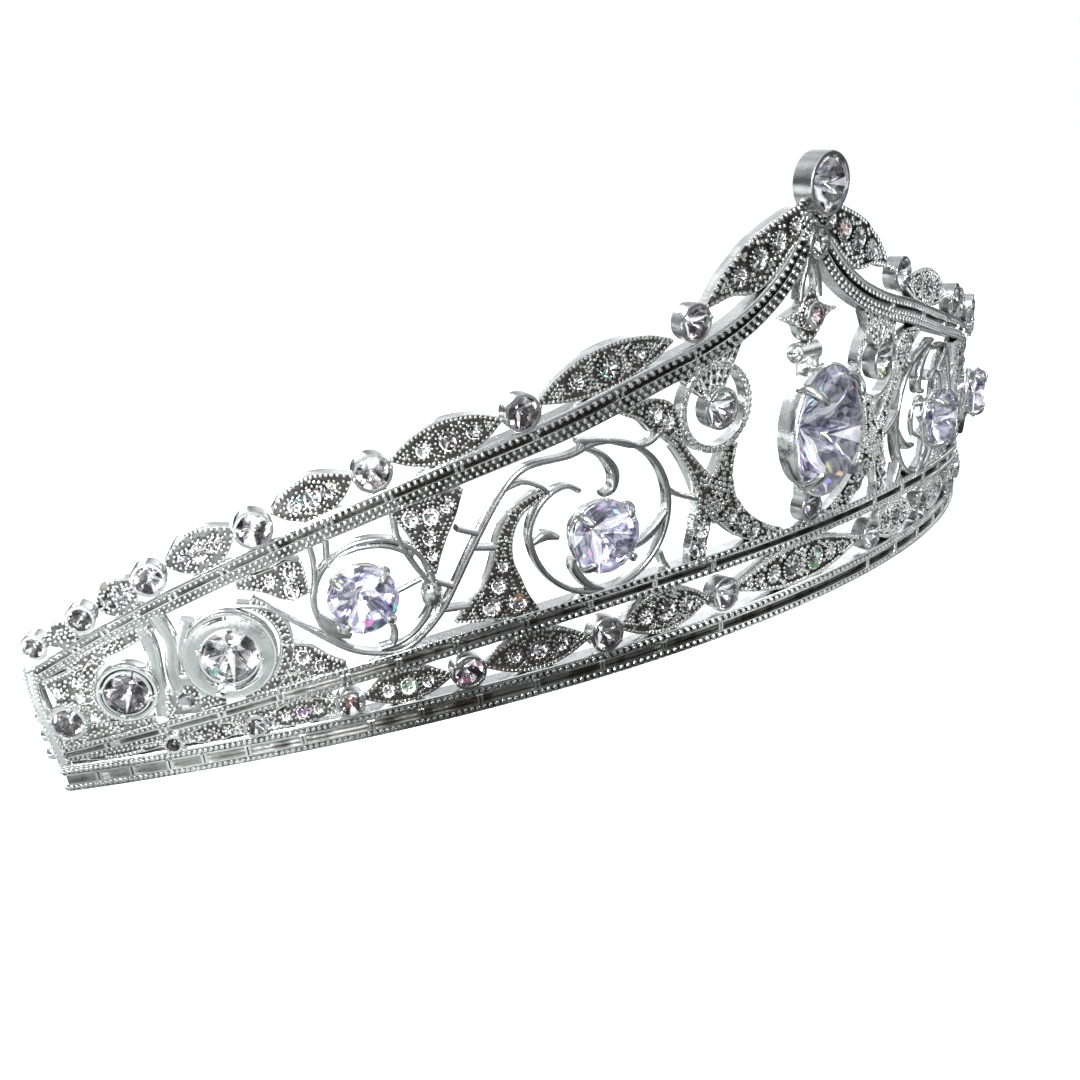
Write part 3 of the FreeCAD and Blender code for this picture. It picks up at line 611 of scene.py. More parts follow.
# %% Foil
# facets above the first number get a painted white flash, patches above the second a painted glow of fire
PAINTED_FLASH_ABOVE, PAINTED_FIRE_ABOVE = 0.9, 0.972     # the facets and patches above these numbers
BLACK = (0.0, 0.0, 0.0, 1)


def foil(name, deep, pale, patches, painted_glow_share, painted_fire_share):
    """A mirror broken into patches of painted reflection; patches is how many fit in a metre.  The
    painted shade between deep and pale is 0.45 of the facet's number plus 0.55 of the patch's, and the
    glow share is how much of it also glows as painted light.  A few facets get a painted white flash and
    a few patches a painted glow in one pure colour, by the fire share."""
    material, wire = new_material(name)
    place = wire.node("ShaderNodeTexCoord", output=3)
    facet = wire.node("ShaderNodeAttribute", {"attribute_name": "facet"}, output=2)
    patch = wire.node("ShaderNodeTexVoronoi", {}, {"Vector": place, "Scale": patches}, output=1)
    first, second, third = [wire.node("ShaderNodeSeparateColor", {}, {"Color": patch}, i)
                            for i in range(3)]
    shade = (0.45 * facet + 0.55 * first).spread_to(0.25, 0.7, 0.0, 1.0)
    hue = wire.node("ShaderNodeCombineColor", {"mode": "HSV"}, {0: third, 1: 0.75, 2: 1.0})
    colour = shade.mix(deep, pale)
    painted_flash = (facet > PAINTED_FLASH_ABOVE).mix(BLACK, (0.5, 0.5, 0.52, 1))
    painted_fire = (second > PAINTED_FIRE_ABOVE).mix(painted_flash, hue.laid_on(BLACK, painted_fire_share))
    # painted light: the foil glows with a share of its own colour, plus the painted flashes and fire
    light = colour.laid_on(painted_fire, painted_glow_share, "ADD")
    finish_material(wire, "ShaderNodeBsdfPrincipled", {},
                    {"Base Color": colour, "Metallic": 1.0,
                     "Roughness": first.spread_to(0.0, 1.0, 0.03, 0.12),
                     "Emission Color": light, "Emission Strength": 1.0})
    return material


CLEAR = [cut_glass("clear crown glass", (1.0, 1.0, 1.0, 1), 1.6),
         foil("foil behind clear stones", (0.14, 0.12, 0.13, 1), (0.98, 0.97, 0.97, 1),
              1150.0, 0.03, 0.18)]
LAVENDER = [cut_glass("lavender zirconia", (0.94, 0.93, 1.0, 1), 1.95),
            foil("painted facets and glow of lavender zirconia", (0.20, 0.19, 0.31, 1), (0.95, 0.94, 1.0, 1),
                 1500.0, 0.13, 0.6)]
print("stones:", [m.name for m in CLEAR + LAVENDER])

# %% [markdown]
# ## The shape of a cut stone
# A brilliant cut has an eight-sided table, eight star facets, eight kites and sixteen triangles
# down to the girdle, then sixteen triangles and eight long kites to the point below.  The
# heights follow from two slopes, 34.5 degrees above the girdle and 41 below, so no facet is bent.

# %% A brilliant of radius 1
def brilliant(depth=1.0):
    """Points and faces of a brilliant with its girdle at z = 0.  A kite's plane rises from the
    girdle by (1 less the reach along the kite's own direction) times the tangent of its slope."""
    crown, pavilion, half_girdle = math.tan(math.radians(34.5)), math.tan(math.radians(41)), 0.03
    eighth = np.radians(np.arange(0, 360, 45))
    between, sixteenth = eighth + math.pi / 8, np.radians(np.arange(0, 360, 22.5))
    meet = math.cos(math.pi / 8)
    table_reach, star_reach, tip_reach = 0.56, 0.78, 0.25

    def ring(angle, radius, z):
        return np.stack([radius * np.cos(angle), radius * np.sin(angle), z + 0 * angle], axis=1)

    points = np.vstack([
        ring(eighth, table_reach, half_girdle + (1 - table_reach) * crown),
        ring(between, star_reach, half_girdle + (1 - star_reach * meet) * crown),
        ring(sixteenth, 1.0, half_girdle),
        ring(sixteenth, 1.0, -half_girdle),
        ring(between, tip_reach, (-half_girdle - (1 - tip_reach * meet) * pavilion) * depth),
        [[0, 0, (-half_girdle - pavilion) * depth]]])
    k, j = np.arange(8), np.arange(16)
    table, star, upper, lower, inner, tip = k, 8 + k, 16 + j, 32 + j, 48 + k, 56 + 0 * k
    before, after = np.roll(star, 1), np.roll(table, -1)
    next_upper, next_lower = np.roll(upper, -1), np.roll(lower, -1)
    faces = [
        table[None],
        np.stack([table, star, after], axis=1),
        np.stack([table, before, upper[::2], star], axis=1),
        np.stack([np.repeat(star, 2), upper, next_upper], axis=1),
        np.stack([lower, next_lower, next_upper, upper], axis=1),
        np.stack([np.repeat(inner, 2), next_lower, lower], axis=1),
        np.stack([tip, inner, lower[::2], np.roll(inner, 1)], axis=1)]
    return points, faces


FOIL_FACES = (5, 6)
BRILLIANT = brilliant()
print("a brilliant has", sum(len(group) for group in BRILLIANT[1]), "faces")


def set_stones(pile, s, h, n, radius, shape=BRILLIANT):
    """Cut stones with their girdles at n, each turned at random about its axis."""
    spin = rng.uniform(0, math.pi / 4, len(np.atleast_1d(s)))
    put(pile, shape, s, h, n, radius, spin, shade_smooth=False, backs=FOIL_FACES)


# %% [markdown]
# ## The rails
# Three rails hold the openwork: one to stand on, one between the friezes, and one that climbs to
# the arch.  Each is a flat wire with a groove along its face, a row of milgrain beads on either
# side, and small ties across the groove.  A profile with the groove and the bead channels in it,
# carried along the rail, gives crisp edges; bump alone would leave the outline flat.

# %% The base rail
GROOVE_FLOOR, BEAD_FLOOR, RAIL_BEAD_N = 0.25, 0.66, 0.80
# painted shade: the rails' groove and bead-channel floors are darkened, to 0 and to this value, and dulled
DULL_SHADED = 0.12     # the tone of a floor that a wheel hardly reaches
base_face = [(0.17, 0.86, 1), (0.28, 0.88, 1), (0.33, BEAD_FLOOR, DULL_SHADED), (0.83, BEAD_FLOOR, DULL_SHADED),
             (0.88, 0.88, 1), (1.03, 0.88, 1), (1.06, GROOVE_FLOOR, 0), (1.2, GROOVE_FLOOR, DULL_SHADED),
             (1.8, GROOVE_FLOOR, DULL_SHADED), (1.94, GROOVE_FLOOR, 0),
             (1.97, 0.88, 1), (2.14, 0.88, 1), (2.19, BEAD_FLOOR, DULL_SHADED), (2.71, BEAD_FLOOR, DULL_SHADED),
             (2.76, 0.86, 1), (2.84, 0.92, 1), (3.02, 0.92, 1), (3.1, 0.84, 1)]
base_top = base_face[-1][0]
foot_back = RAIL_BACK * math.tan(LEAN)     # the back edge also stands on the floor
base_profile = [(0, foot_back, RAIL_BACK, 1), (0, base_top, RAIL_BACK, 1)]
base_profile += [(0, height, n, tone) for height, n, tone in base_face[::-1]]
BASE_TIES = [14, 22, 30, 37.8, 44.2, 50.5, 55.7, 62.7, 68.3, 72.7, 76.2, 80, 83.4]
tie_profile = rounded(0.44, 0.60, corners=10, squareness=4)


def along_the_band(height):
    """A path along the whole band at one height."""
    return [(s, height, 1) for s in (-HALF_ARC, 0, HALF_ARC)]


base = Pile()
bar(base, along_the_band(0), base_profile, step=1.0)
for height in (0.58, 2.45):
    bead_row(base, along_the_band(height), 0, RAIL_BEAD_N)
for s in [hand * tie + gap for hand in (-1, 1) for tie in BASE_TIES for gap in (-0.2, 0.2)]:
    bar(base, [(s, 0.95, 0.17), (s, 2.05, 0.17)], tie_profile)
make("base_rail", base, [BEADED])
print("it rises", base_top, "mm up the slope")

# %% [markdown]
# ## The two thin rails
# The middle and upper rails swell and taper, so their grooves and bead rows have to follow the
# width.  Their profiles are given in shares of the half width and not in millimetres.  Each is
# drawn as a line through a few stations, so a smooth curve gives its sweep; the upper one turns
# up steeply near the middle, where both halves meet in the arch's point.

# %% A rail with a groove
def rail(pile, path, face, beads, ties, groove):
    """A rail whose face rows are (share of the half width, n, polish and painted shade), with rows of
    beads at the given shares, and ties across the groove between two shares."""
    front = [(share, 0, n, tone) for share, n, tone in face[::-1]]
    bar(pile, path, [(-1, 0, RAIL_BACK, 1), (1, 0, RAIL_BACK, 1)] + front, step=0.6)
    for share in beads:
        bead_row(pile, path, share, RAIL_BEAD_N)
    walked = evenly(smooth(path), 0.2)
    side = across(walked)
    for tie in ties:
        for gap in (-0.25, 0.25):
            i = int(np.argmin(np.abs(walked[:, 0] - tie - gap)))
            ends = [walked[i, :2] + side[i] * walked[i, 2] * share for share in groove]
            bar(pile, with_width(ends, 0.2), tie_profile)


print("a tie's profile has", len(tie_profile), "points")

# %% [markdown]
# ## The middle rail
# It dips toward both ends and is the same on both sides, so one half of its path is written and
# turned round for the other.

# %% The middle rail
MIDDLE_HALF = [(0, 9.4, 1.15), (20, 9.3, 1.15), (36, 8.8, 1.1), (46, 8.3, 1.1), (56, 7.5, 1.0),
               (64, 6.8, 0.95), (70, 6.1, 0.9), (80, 5.0, 0.85), (86, 4.3, 0.8)]
MIDDLE_RAIL = [(-s, h, half) for s, h, half in MIDDLE_HALF[:0:-1]] + MIDDLE_HALF
middle_face = [(-1, 0.84, 1), (-0.96, 0.9, 1), (-0.94, BEAD_FLOOR, DULL_SHADED), (-0.55, BEAD_FLOOR, DULL_SHADED),
               (-0.51, 0.88, 1), (-0.34, 0.88, 1), (-0.31, GROOVE_FLOOR, 0),
               (-0.18, GROOVE_FLOOR, DULL_SHADED), (0.12, GROOVE_FLOOR, DULL_SHADED),
               (0.25, GROOVE_FLOOR, 0), (0.28, 0.88, 1), (0.43, 0.88, 1),
               (0.46, BEAD_FLOOR, DULL_SHADED), (0.86, BEAD_FLOOR, DULL_SHADED), (0.9, 0.9, 1), (1, 0.84, 1)]
MIDDLE_TIES = [15, 23, 31, 38.5, 46, 52, 57.5, 64, 70, 76, 81.5]
middle = Pile()
rail(middle, MIDDLE_RAIL, middle_face, (-0.74, 0.66),
     [hand * tie for hand in (-1, 1) for tie in MIDDLE_TIES], (-0.42, 0.36))
make("middle_rail", middle, [BEADED])

# %% [markdown]
# ## The upper rail
# It has three rows of beads, two below the groove and one above, and a plain ledge along its
# top on which the crest stands.  It is made as two pieces that meet in the arch's point.

# %% The upper rail
UPPER_RAIL = [(0.9, 43.9, 1.1), (1.9, 42.2, 1.3), (3.7, 40.0, 1.45), (6, 38.0, 1.5),
              (9, 36.1, 1.5), (12, 34.7, 1.5), (16, 33.3, 1.5), (22, 31.8, 1.5), (30, 29.6, 1.5),
              (36, 28.2, 1.45), (44, 26.6, 1.4), (50, 25.3, 1.35), (56, 23.9, 1.3),
              (62, 22.3, 1.2), (67, 20.8, 1.15), (72, 19.2, 1.1), (76, 17.8, 1.0),
              (80, 16.3, 0.9), (84, 14.6, 0.85), (87, 13.3, 0.8)]
upper_face = [(-1, 0.84, 1), (-0.96, 0.9, 1), (-0.9, 0.9, 1), (-0.88, BEAD_FLOOR, DULL_SHADED),
              (-0.13, BEAD_FLOOR, DULL_SHADED), (-0.1, 0.88, 1), (0.0, 0.88, 1), (0.02, GROOVE_FLOOR, 0),
              (0.29, GROOVE_FLOOR, 0), (0.31, BEAD_FLOOR, DULL_SHADED), (0.61, BEAD_FLOOR, DULL_SHADED),
              (0.64, 0.88, 1), (0.80, 0.97, 1), (0.94, 0.92, 1), (1, 0.84, 1)]
UPPER_TIES = [16.7, 26.2, 35.6, 43.6, 50.6, 56.5, 61.9, 66.7, 71.8, 75.5, 78.8, 82]
upper = Pile()
rail(upper, UPPER_RAIL, upper_face, (-0.7, -0.3, 0.46), UPPER_TIES, (-0.06, 0.4))
make_pair("upper_rail", upper, [BEADED])

# %% [markdown]
# ## The end uprights
# An upright with a row of knobs closes each end and ties the three rails together.  The knobs
# are balls sunk in the bar, as if cast on.  A ball is a half circle turned about its axis;
# its two small flat ends close it, where a real pole would crowd thin triangles.

# %% The end uprights
def ball(flat=0.1, rings=9, steps=16):
    """A ball of radius 1: at each latitude the radius is the cosine and the height the sine."""
    lift = np.linspace(-math.acos(flat), math.acos(flat), rings)
    return turned(np.stack([np.cos(lift), np.sin(lift)], axis=1), steps, closed=False)


KNOBS, KNOB_S, KNOB_RADIUS = 5, 87.6, 0.75
upright = [(87.3, 11, 0.7), (86.9, 7, 0.65)]
end = Pile()
bar(end, [(87.1, 14.6, 0.75), *upright, (86.6, 3.1, 0.6)], rounded(0.9, 0.0, squareness=5))
put(end, ball(), np.full(KNOBS, KNOB_S), 4.4 + 2.1 * np.arange(KNOBS), 0.0, KNOB_RADIUS)
for share in (-0.55, 0.55):
    bead_row(end, [(87.1, 14.4, 0.75), *upright, (86.6, 3.4, 0.6)], share, 0.84)
make_pair("end_bar", end, [BEADED])

# %% [markdown]
# ## Leaves and set panels
# The leaves are small trays: a smooth wall outside, a thin rim, and a sunk floor crowded with
# beads that hold three small stones.  One tray profile carried along a path whose width swells
# and tapers makes them all, and the crowd of beads hides where one tray runs into the next.

# %% Trays
PANEL_BACK, PANEL_FRONT = -0.7, 0.7


def tray(pile, path, lower=0.0):
    """A tray along a path: rim, floor and plain back.  lower sinks it a little, so that faces
    of joined trays never lie in the same place."""
    # painted shade: the sunk floor between the rims is darkened and dulled
    half = [(1, 0, PANEL_FRONT - 0.12, 1), (1, -0.06, PANEL_FRONT, 1), (1, -0.17, PANEL_FRONT, 1),
            (1, -0.24, 0.42, 0)]
    front = half + [(-share, -shift, n, tone) for share, shift, n, tone in half[::-1]]
    back = [(-1, 0, PANEL_BACK, 1), (1, 0, PANEL_BACK, 1)]
    profile = [(share, shift, n - lower * np.sign(n), tone)
               for share, shift, n, tone in back + front]
    bar(pile, path, profile, step=0.5)


print("a tray stands", PANEL_FRONT - PANEL_BACK, "mm deep")

# %% [markdown]
# ## The outline of a leaf
# Every leaf has two tips, a low bow and a high bow.  Those four values are what a carver marks
# on the wax, so they are all that the table below holds for a leaf, and the outline and the
# places of its three stones follow from them.

# %% Leaves from their tips and bows
def leaf_path(start, end, low, high):
    """A leaf between two tips.  The bow is the sine of the way along, to the power 0.8; the
    middle line rises by half of (high - low) bows and the half width is half their sum."""
    t = np.linspace(0, 1, 9)
    bow = np.sin(math.pi * t) ** 0.8
    s = start[0] + t * (end[0] - start[0])
    h = start[1] + t * (end[1] - start[1]) + 0.5 * (high - low) * bow
    return np.stack([s, h, 0.5 * (high + low) * bow + 0.3], axis=1)


def leaf_stones(start, end, low, high):
    """Three stones along a leaf, (s, h, radius) each, the middle one the largest."""
    reach, size = 0.23 * abs(end[0] - start[0]), min(1.1, 0.30 * (low + high))
    slope = (end[1] - start[1]) / (end[0] - start[0])
    s, h = 0.5 * (start[0] + end[0]), 0.5 * (start[1] + end[1] + high - low)
    return [(s + i * reach, h + slope * i * reach, size * (1 - 0.25 * abs(i))) for i in (-1, 0, 1)]


print("the middle stone of a leaf 2 mm high has radius", leaf_stones((0, 0), (8, 0), 1, 1)[1][2])

# %% [markdown]
# ## The lower frieze and the crest
# The leaves get smaller toward the ends.  The one beside the apex is bent and fat, so it is
# drawn as a path of its own, and the beads about the middle are larger than those further out.

# %% Rows of leaves
LOWER_LEAVES = [((15.6, 5.3), (27.3, 5.1), 1.85, 2.7), ((31.4, 5.1), (43.1, 5.0), 1.7, 2.4),
                ((46.9, 4.9), (55.9, 4.6), 1.4, 1.85), ((58.8, 4.5), (65.8, 4.3), 1.05, 1.35),
                ((68.2, 4.2), (74.2, 4.0), 0.75, 0.75), ((76.2, 3.9), (84.5, 3.6), 0.4, 0.15)]
CREST_LEAVES = [((19.8, 35.4), (34.9, 31.9), 1.7, 2.5), ((38.9, 31.0), (49.8, 29.1), 2.05, 1.85),
                ((53.8, 28.3), (61.4, 26.1), 2.3, 1.7), ((65.3, 25.3), (71.9, 22.9), 2.5, 1.5),
                ((75.2, 21.8), (79.1, 20.0), 2.4, 1.2), ((81.9, 18.6), (84.5, 17.5), 2.05, 0.65)]
APEX_LEAF = [(15.2, 38.2, 0.35), (12.3, 40.1, 1.6), (9.5, 41.1, 2.75), (7.0, 42.6, 2.75),
             (4.8, 44.0, 2.3), (2.5, 45.2, 1.9), (0.7, 46.0, 1.3)]
APEX_LEAF_STONES = [(11.0, 40.6, 1.0), (8.3, 42.1, 1.15), (5.5, 43.5, 1.1), (2.9, 44.9, 0.8)]
BEAD_N = 0.60
COARSE = (0.36, 0.33, 0.63)     # edge, radius and pitch of the larger beads about the middle
small_stones = []


def leaves(name, rows, extra=(), extra_stones=()):
    """A pair of rows of leaves with their beads; the stones are kept for later."""
    pile = Pile()
    stones = [stone for row in rows[:-1] for stone in leaf_stones(*row)] + list(extra_stones)
    paths = [leaf_path(*row) for row in rows] + list(extra)
    for i, path in enumerate(paths):
        tray(pile, path, 0.01 * i)
    fine = len(rows)
    bead_field(pile, paths[:fine], stones, BEAD_N)
    if extra:
        bead_field(pile, paths[fine:], extra_stones, BEAD_N, *COARSE)
    small_stones.extend(stones)
    make_pair(name, pile, [DARK_SET])


leaves("lower_leaves", LOWER_LEAVES)
leaves("crest_leaves", CREST_LEAVES, [APEX_LEAF], APEX_LEAF_STONES)
print(len(small_stones), "small stones wait for their leaves")

# %% [markdown]
# ## The centre leaf
# The leaf in the middle of the lower frieze is the widest, and the same on both sides, so half
# of its path is written and the other half is the same with s turned round.

# %% The centre leaf
CENTRE_HALF = [(4, 5.6, 2.4), (8, 5.5, 1.5), (11.7, 5.45, 0.4)]
CENTRE_LEAF = [(-s, h, half) for s, h, half in CENTRE_HALF[::-1]] + [(0, 5.65, 2.62)] + CENTRE_HALF
CENTRE_LEAF_STONES = [(2.2, 5.5, 1.25), (5.3, 5.5, 0.9), (7.7, 5.4, 0.6)]
middle_leaf = Pile()
tray(middle_leaf, CENTRE_LEAF)
bead_field(middle_leaf, [CENTRE_LEAF],
           CENTRE_LEAF_STONES + [(-s, h, r) for s, h, r in CENTRE_LEAF_STONES], BEAD_N, *COARSE)
make("centre_leaf", middle_leaf, [DARK_SET])
small_stones.extend(CENTRE_LEAF_STONES)

# %% [markdown]
# ## Panels between the scrolls
# Odd-shaped trays fill the corners that the scrolls leave, and crowd round the cups toward the
# ends.  They are the same tray on other paths, so only the paths are new.  A thin plate behind
# the last ones closes the gaps between them; what really closes them is a guess.

# %% Set panels
PANELS = {
    "horn": [(41.0, 9.9, 4.9), (40.7, 11.6, 3.6), (40.3, 13.6, 2.2), (40.1, 16, 1.2),
             (39.6, 18.6, 0.9), (38.2, 20.9, 0.75), (36.2, 22.0, 0.6), (34.7, 22.2, 0.35)],
    "wedge": [(47.2, 24.4, 3.9), (47.1, 22.6, 3.0), (47.2, 20.4, 1.9), (47.3, 18.3, 1.05),
              (47.4, 16.4, 0.45)],
    "corner": [(25.6, 29.0, 0.5), (23.4, 28.6, 1.2), (21.4, 27.6, 1.9), (20.0, 26.0, 1.4),
               (19.2, 24.4, 0.75)],
    "upper filler": [(66.0, 19.4, 0.5), (63.4, 19.2, 1.2), (61.4, 18.9, 2.1), (59.6, 19.0, 1.9)],
    "lower filler": [(62.6, 11.9, 0.6), (61.2, 10.4, 1.6), (59.4, 9.2, 1.3), (57.2, 8.6, 0.5)],
    "tail": [(81.6, 12.9, 1.3), (83.4, 12.0, 1.5), (85.8, 11.3, 1.5)],
    "strip": [(59.5, 8.6, 0.5), (62.5, 8.4, 0.7), (65.0, 8.1, 0.8), (67.5, 7.6, 0.4)],
    "foot": [(69.3, 7.6, 0.5), (71.6, 8.2, 1.5), (73.6, 8.0, 1.7), (75.6, 7.2, 0.8)],
    "end strip": [(76.6, 6.5, 0.6), (79.0, 6.3, 0.8), (82.0, 6.2, 1.1), (85.9, 5.9, 1.1)],
    "crescent": with_width(circle(67.9, 12.6, 5.5, 122, 236, 9), 0.7),
    "collar": with_width(circle(78.2, 10.5, 4.05, -70, 60, 9), 0.75),
    "top strip": [(83.6, 13.3, 0.5), (80.6, 14.7, 0.9), (77.6, 15.6, 0.9), (74.6, 16.6, 0.5)]}
BACKING = [(59.0, 4.9, 1.4), (64.0, 4.6, 1.3), (70.0, 4.2, 1.05), (76.0, 3.9, 0.75),
           (82.0, 3.55, 0.4), (86.3, 3.35, 0.25)]
PANEL_STONES = [(40.9, 13.6, 0.85), (41.9, 11.5, 1.05), (39.0, 11.3, 1.05), (40.2, 15.6, 0.6),
                (48.9, 22.8, 0.95), (46.9, 22.6, 0.95), (45.2, 23.4, 0.8), (47.3, 20.4, 0.85),
                (47.2, 18.5, 0.6), (22.2, 28.0, 0.95), (20.6, 26.8, 0.75), (61.0, 17.9, 0.95),
                (60.9, 19.8, 0.75), (62.9, 19.2, 0.65), (61.2, 10.6, 0.8), (59.7, 9.3, 0.65),
                (82.7, 12.2, 0.7), (84.8, 11.4, 0.7), (73.0, 8.3, 0.85)]
panels = Pile()
for i, path in enumerate(PANELS.values()):
    tray(panels, path, 0.01 * i)
tray(panels, BACKING, 0.4)
bead_field(panels, [BACKING], [], 0.12)
bead_field(panels, PANELS.values(), PANEL_STONES, BEAD_N)
make_pair("set_panels", panels, [DARK_SET])
small_stones.extend(PANEL_STONES)
print("panels:", ", ".join(PANELS))

# %% [markdown]
# ## The hourglass beside the arch
# A waisted panel with four legs holds up the arch.  One tray can't fork, so five trays meet at
# the waist, each a little lower than the last, and the beads run over the joins.

# %% The hourglass
HOURGLASS = [
    [(19.3, 24.2, 0.75), (18.3, 22.6, 0.7), (17.0, 20.6, 0.95), (15.8, 18.6, 1.3)],
    [(12.0, 22.6, 0.9), (12.7, 20.8, 1.15), (13.3, 19.2, 1.5), (14.2, 17.4, 2.0)],
    [(14.3, 18.6, 2.6), (14.2, 16.9, 2.75), (14.0, 15.2, 3.1), (13.9, 14.3, 3.3)],
    [(16.0, 15.2, 1.3), (16.4, 13.2, 1.2), (16.9, 11.6, 1.15), (16.9, 10.2, 1.2)],
    [(12.4, 15.0, 1.8), (10.7, 13.2, 1.55), (8.9, 11.9, 1.35), (6.4, 10.9, 0.9),
     (4.2, 10.6, 0.35)]]
HOURGLASS_STONES = [(16.4, 13.7, 0.9), (16.9, 11.7, 0.95), (12.4, 14.2, 0.9), (10.6, 12.8, 0.95),
                    (8.8, 11.7, 0.8)]
waist = Pile()
for i, path in enumerate(HOURGLASS):
    tray(waist, path, 0.03 * i)
bead_field(waist, HOURGLASS, HOURGLASS_STONES, BEAD_N, *COARSE)
make_pair("hourglass", waist, [DARK_SET])
small_stones.extend(HOURGLASS_STONES)

# %% [markdown]
# ## The small stones
# Each small stone lies in its ring of beads with its table just above them.  A full pavilion
# would stick out at the back of the thin tray, so these are cut shallow.

# %% The small stones
SHALLOW = brilliant(depth=0.45)
s, h, r = np.array(small_stones).T
small = Pile()
set_stones(small, s, h, PANEL_FRONT + 0.05 + 0.1 * r, r, SHALLOW)
make_pair("small_stones", small, CLEAR)

# %% [markdown]
# ## Bezels
# A bezel is a short tube with a seat inside.  The stone drops onto the seat and the lip is
# pressed over its edge.  It is a profile turned about the stone's axis: outer wall, a lip that
# rolls in over the girdle, then the seat and the bore.  Tiny prongs at the sides finish it.

# %% Bezels and their stones
def bezel(radius, depth, wall):
    """A bezel about its stone's girdle at height 0: the outer wall widens a little upward."""
    lip, outer = 0.18 * radius, radius + wall
    return turned([(0.76 * radius, lip - depth), (outer - 0.1, lip - depth),
                   (outer, lip - 0.45), (outer, lip - 0.12), (outer - 0.1, lip),
                   (radius - 0.08, lip + 0.02), (radius - 0.1, 0.02), (radius, -0.06 * radius),
                   (0.76 * radius, -0.30 * radius)], steps=36)


def prongs(pile, s, h, n, radius, angles, size=0.26):
    """Round prong heads on a bezel's lip, at angles in degrees."""
    a = np.radians(angles)
    put(pile, BEAD, s + radius * np.cos(a), h + radius * np.sin(a), n, size, tone=BEAD_POLISH_SHADE)


print("a bezel has", len(bezel(1, 1, 0.3)[1][0]), "faces")

# %% [markdown]
# ## The bezels of both friezes
# Bezels stand between the leaves as spacers, all with the same depth and wall, so a row of
# (s, h, radius) is enough for each.  The stone's girdle lies a little below the lip.

# %% Rows of bezels
# painted shade: bezels are darkened all round and dulled, so that their walls don't vanish against the
# white
BEZEL_PAINTED_SHADE, BEZEL_DEPTH, BEZEL_WALL = 0.55, 1.9, 0.28


def settings(name, rows, back, angles):
    """A pair of groups of bezels with their backs at n, and their stones."""
    tubes, stones = Pile(), Pile()
    for s, h, radius in rows:
        girdle = back + BEZEL_DEPTH - 0.18 * radius
        put(tubes, bezel(radius, BEZEL_DEPTH, BEZEL_WALL), s, h, girdle, tone=BEZEL_PAINTED_SHADE)
        prongs(tubes, s, h, girdle + 0.16 * radius, radius + 0.02, angles)
        set_stones(stones, s, h, girdle, radius)
    make_pair(name + "_bezels", tubes, [POLISHED])
    make_pair(name + "_stones", stones, CLEAR)


DROP = (14.1, 27.1)     # the middle of the drop ring
LOWER_SETTINGS = [(13.6, 5.5, 1.75), (29.4, 5.2, 1.75), (45.1, 5.1, 1.65), (57.4, 4.6, 1.25),
                  (67.0, 4.3, 1.0), (75.2, 3.95, 0.8)]
CREST_SETTINGS = [(17.4, 37.0, 1.85), (37.0, 31.5, 1.75), (51.9, 28.5, 1.75), (63.4, 25.1, 1.7),
                  (73.6, 21.9, 1.5), (80.6, 19.0, 1.25), (85.6, 16.8, 1.1)]
settings("lower", LOWER_SETTINGS, -0.4, (35, 145, 215, 325))
settings("crest", CREST_SETTINGS, -0.2, (-10, 170))
settings("drop", [(*DROP, 2.1)], -0.3, (45, 135, 225, 315))

# %% [markdown]
# ## The bezels on the middle line
# The apex stone is the largest in a bezel; three more mark the neck, the kite and the foot of
# the middle column.  Each has its own depth, because it stands on a different piece.  The
# apex stone is faintly lavender, so it gets the lavender crown over the clear stones' foil.

# %% Apex, neck, kite and foot
# (h, radius, depth, wall, girdle)
APEX = [(49.3, 3.15, 2.6, 0.32, 2.3)]
CENTRE = [(42.9, 1.55, 1.9, 0.3, 1.5), (34.8, 1.3, 0.9, 0.3, 1.36), (12.45, 1.6, 1.9, 0.3, 1.5)]
for name, rows, look, slot in (("apex", APEX, [LAVENDER[0], CLEAR[1]], "lavender_stone"),
                               ("centre", CENTRE, CLEAR, "clear_stone")):
    tubes, stones = Pile(), Pile()
    for h, radius, depth, wall, girdle in rows:
        put(tubes, bezel(radius, depth, wall), 0, h, girdle, tone=BEZEL_PAINTED_SHADE)
        set_stones(stones, 0, h, girdle, radius)
    make(name + "_bezels", tubes, [POLISHED])
    make(name + "_stones", stones, look)

# %% [markdown]
# ## Scrolls and straps
# The scrolls are tall polished straps set on edge: deep from front to back and narrow to the
# eye.  A soft-cornered profile catches one long highlight along each, which is what makes them
# read as bent wire and not as cut sheet.

# %% Straps
STRAP_HALF_DEPTH = 0.78
STRAP = rounded(STRAP_HALF_DEPTH, 0.05, corners=16, squareness=3.4)
# painted shade: a strap's front and back faces are darkened and dulled, its side walls kept bright
STRAP[:, 3] = 0.25 + 0.75 * STRAP[:, 0] ** 2
RING_ONE, RING_TWO = (28.8, 18.15, 8.2), (53.3, 15.5, 5.9)


def straps(pile, runs, *halves):
    """Polished straps along lists of (s, h), their half width spread over the given values."""
    for run in runs:
        bar(pile, with_width(run, *halves), STRAP, step=0.4)


print("a strap is", 2 * STRAP_HALF_DEPTH, "mm deep; the rings are", 2 * RING_ONE[2], "and",
      2 * RING_TWO[2], "mm across")

# %% [markdown]
# ## The main scroll
# One long strap climbs from the outer cup, runs once round the large ring and curls in to a
# claw.  It reads as one piece of wire from end to end, so it is one path: the climb, a true
# circle, and the curl.

# %% The main scroll
climb = [(66.4, 17.3), (63.6, 16.4), (61, 14.2), (57, 10.6), (54.3, 9.3), (51.6, 8.95),
         (49.4, 9.9), (46.6, 12.6), (43, 18.3), (39.6, 23.2), (36.8, 25.4)]
curl = [(36.2, 20.4), (34.6, 22.0), (32.6, 22.5), (31.2, 21.7)]
scroll = Pile()
straps(scroll, [np.vstack([climb, circle(*RING_ONE, 66, 360, 15), curl])], 0.33)
make_pair("main_scroll", scroll, [POLISHED])

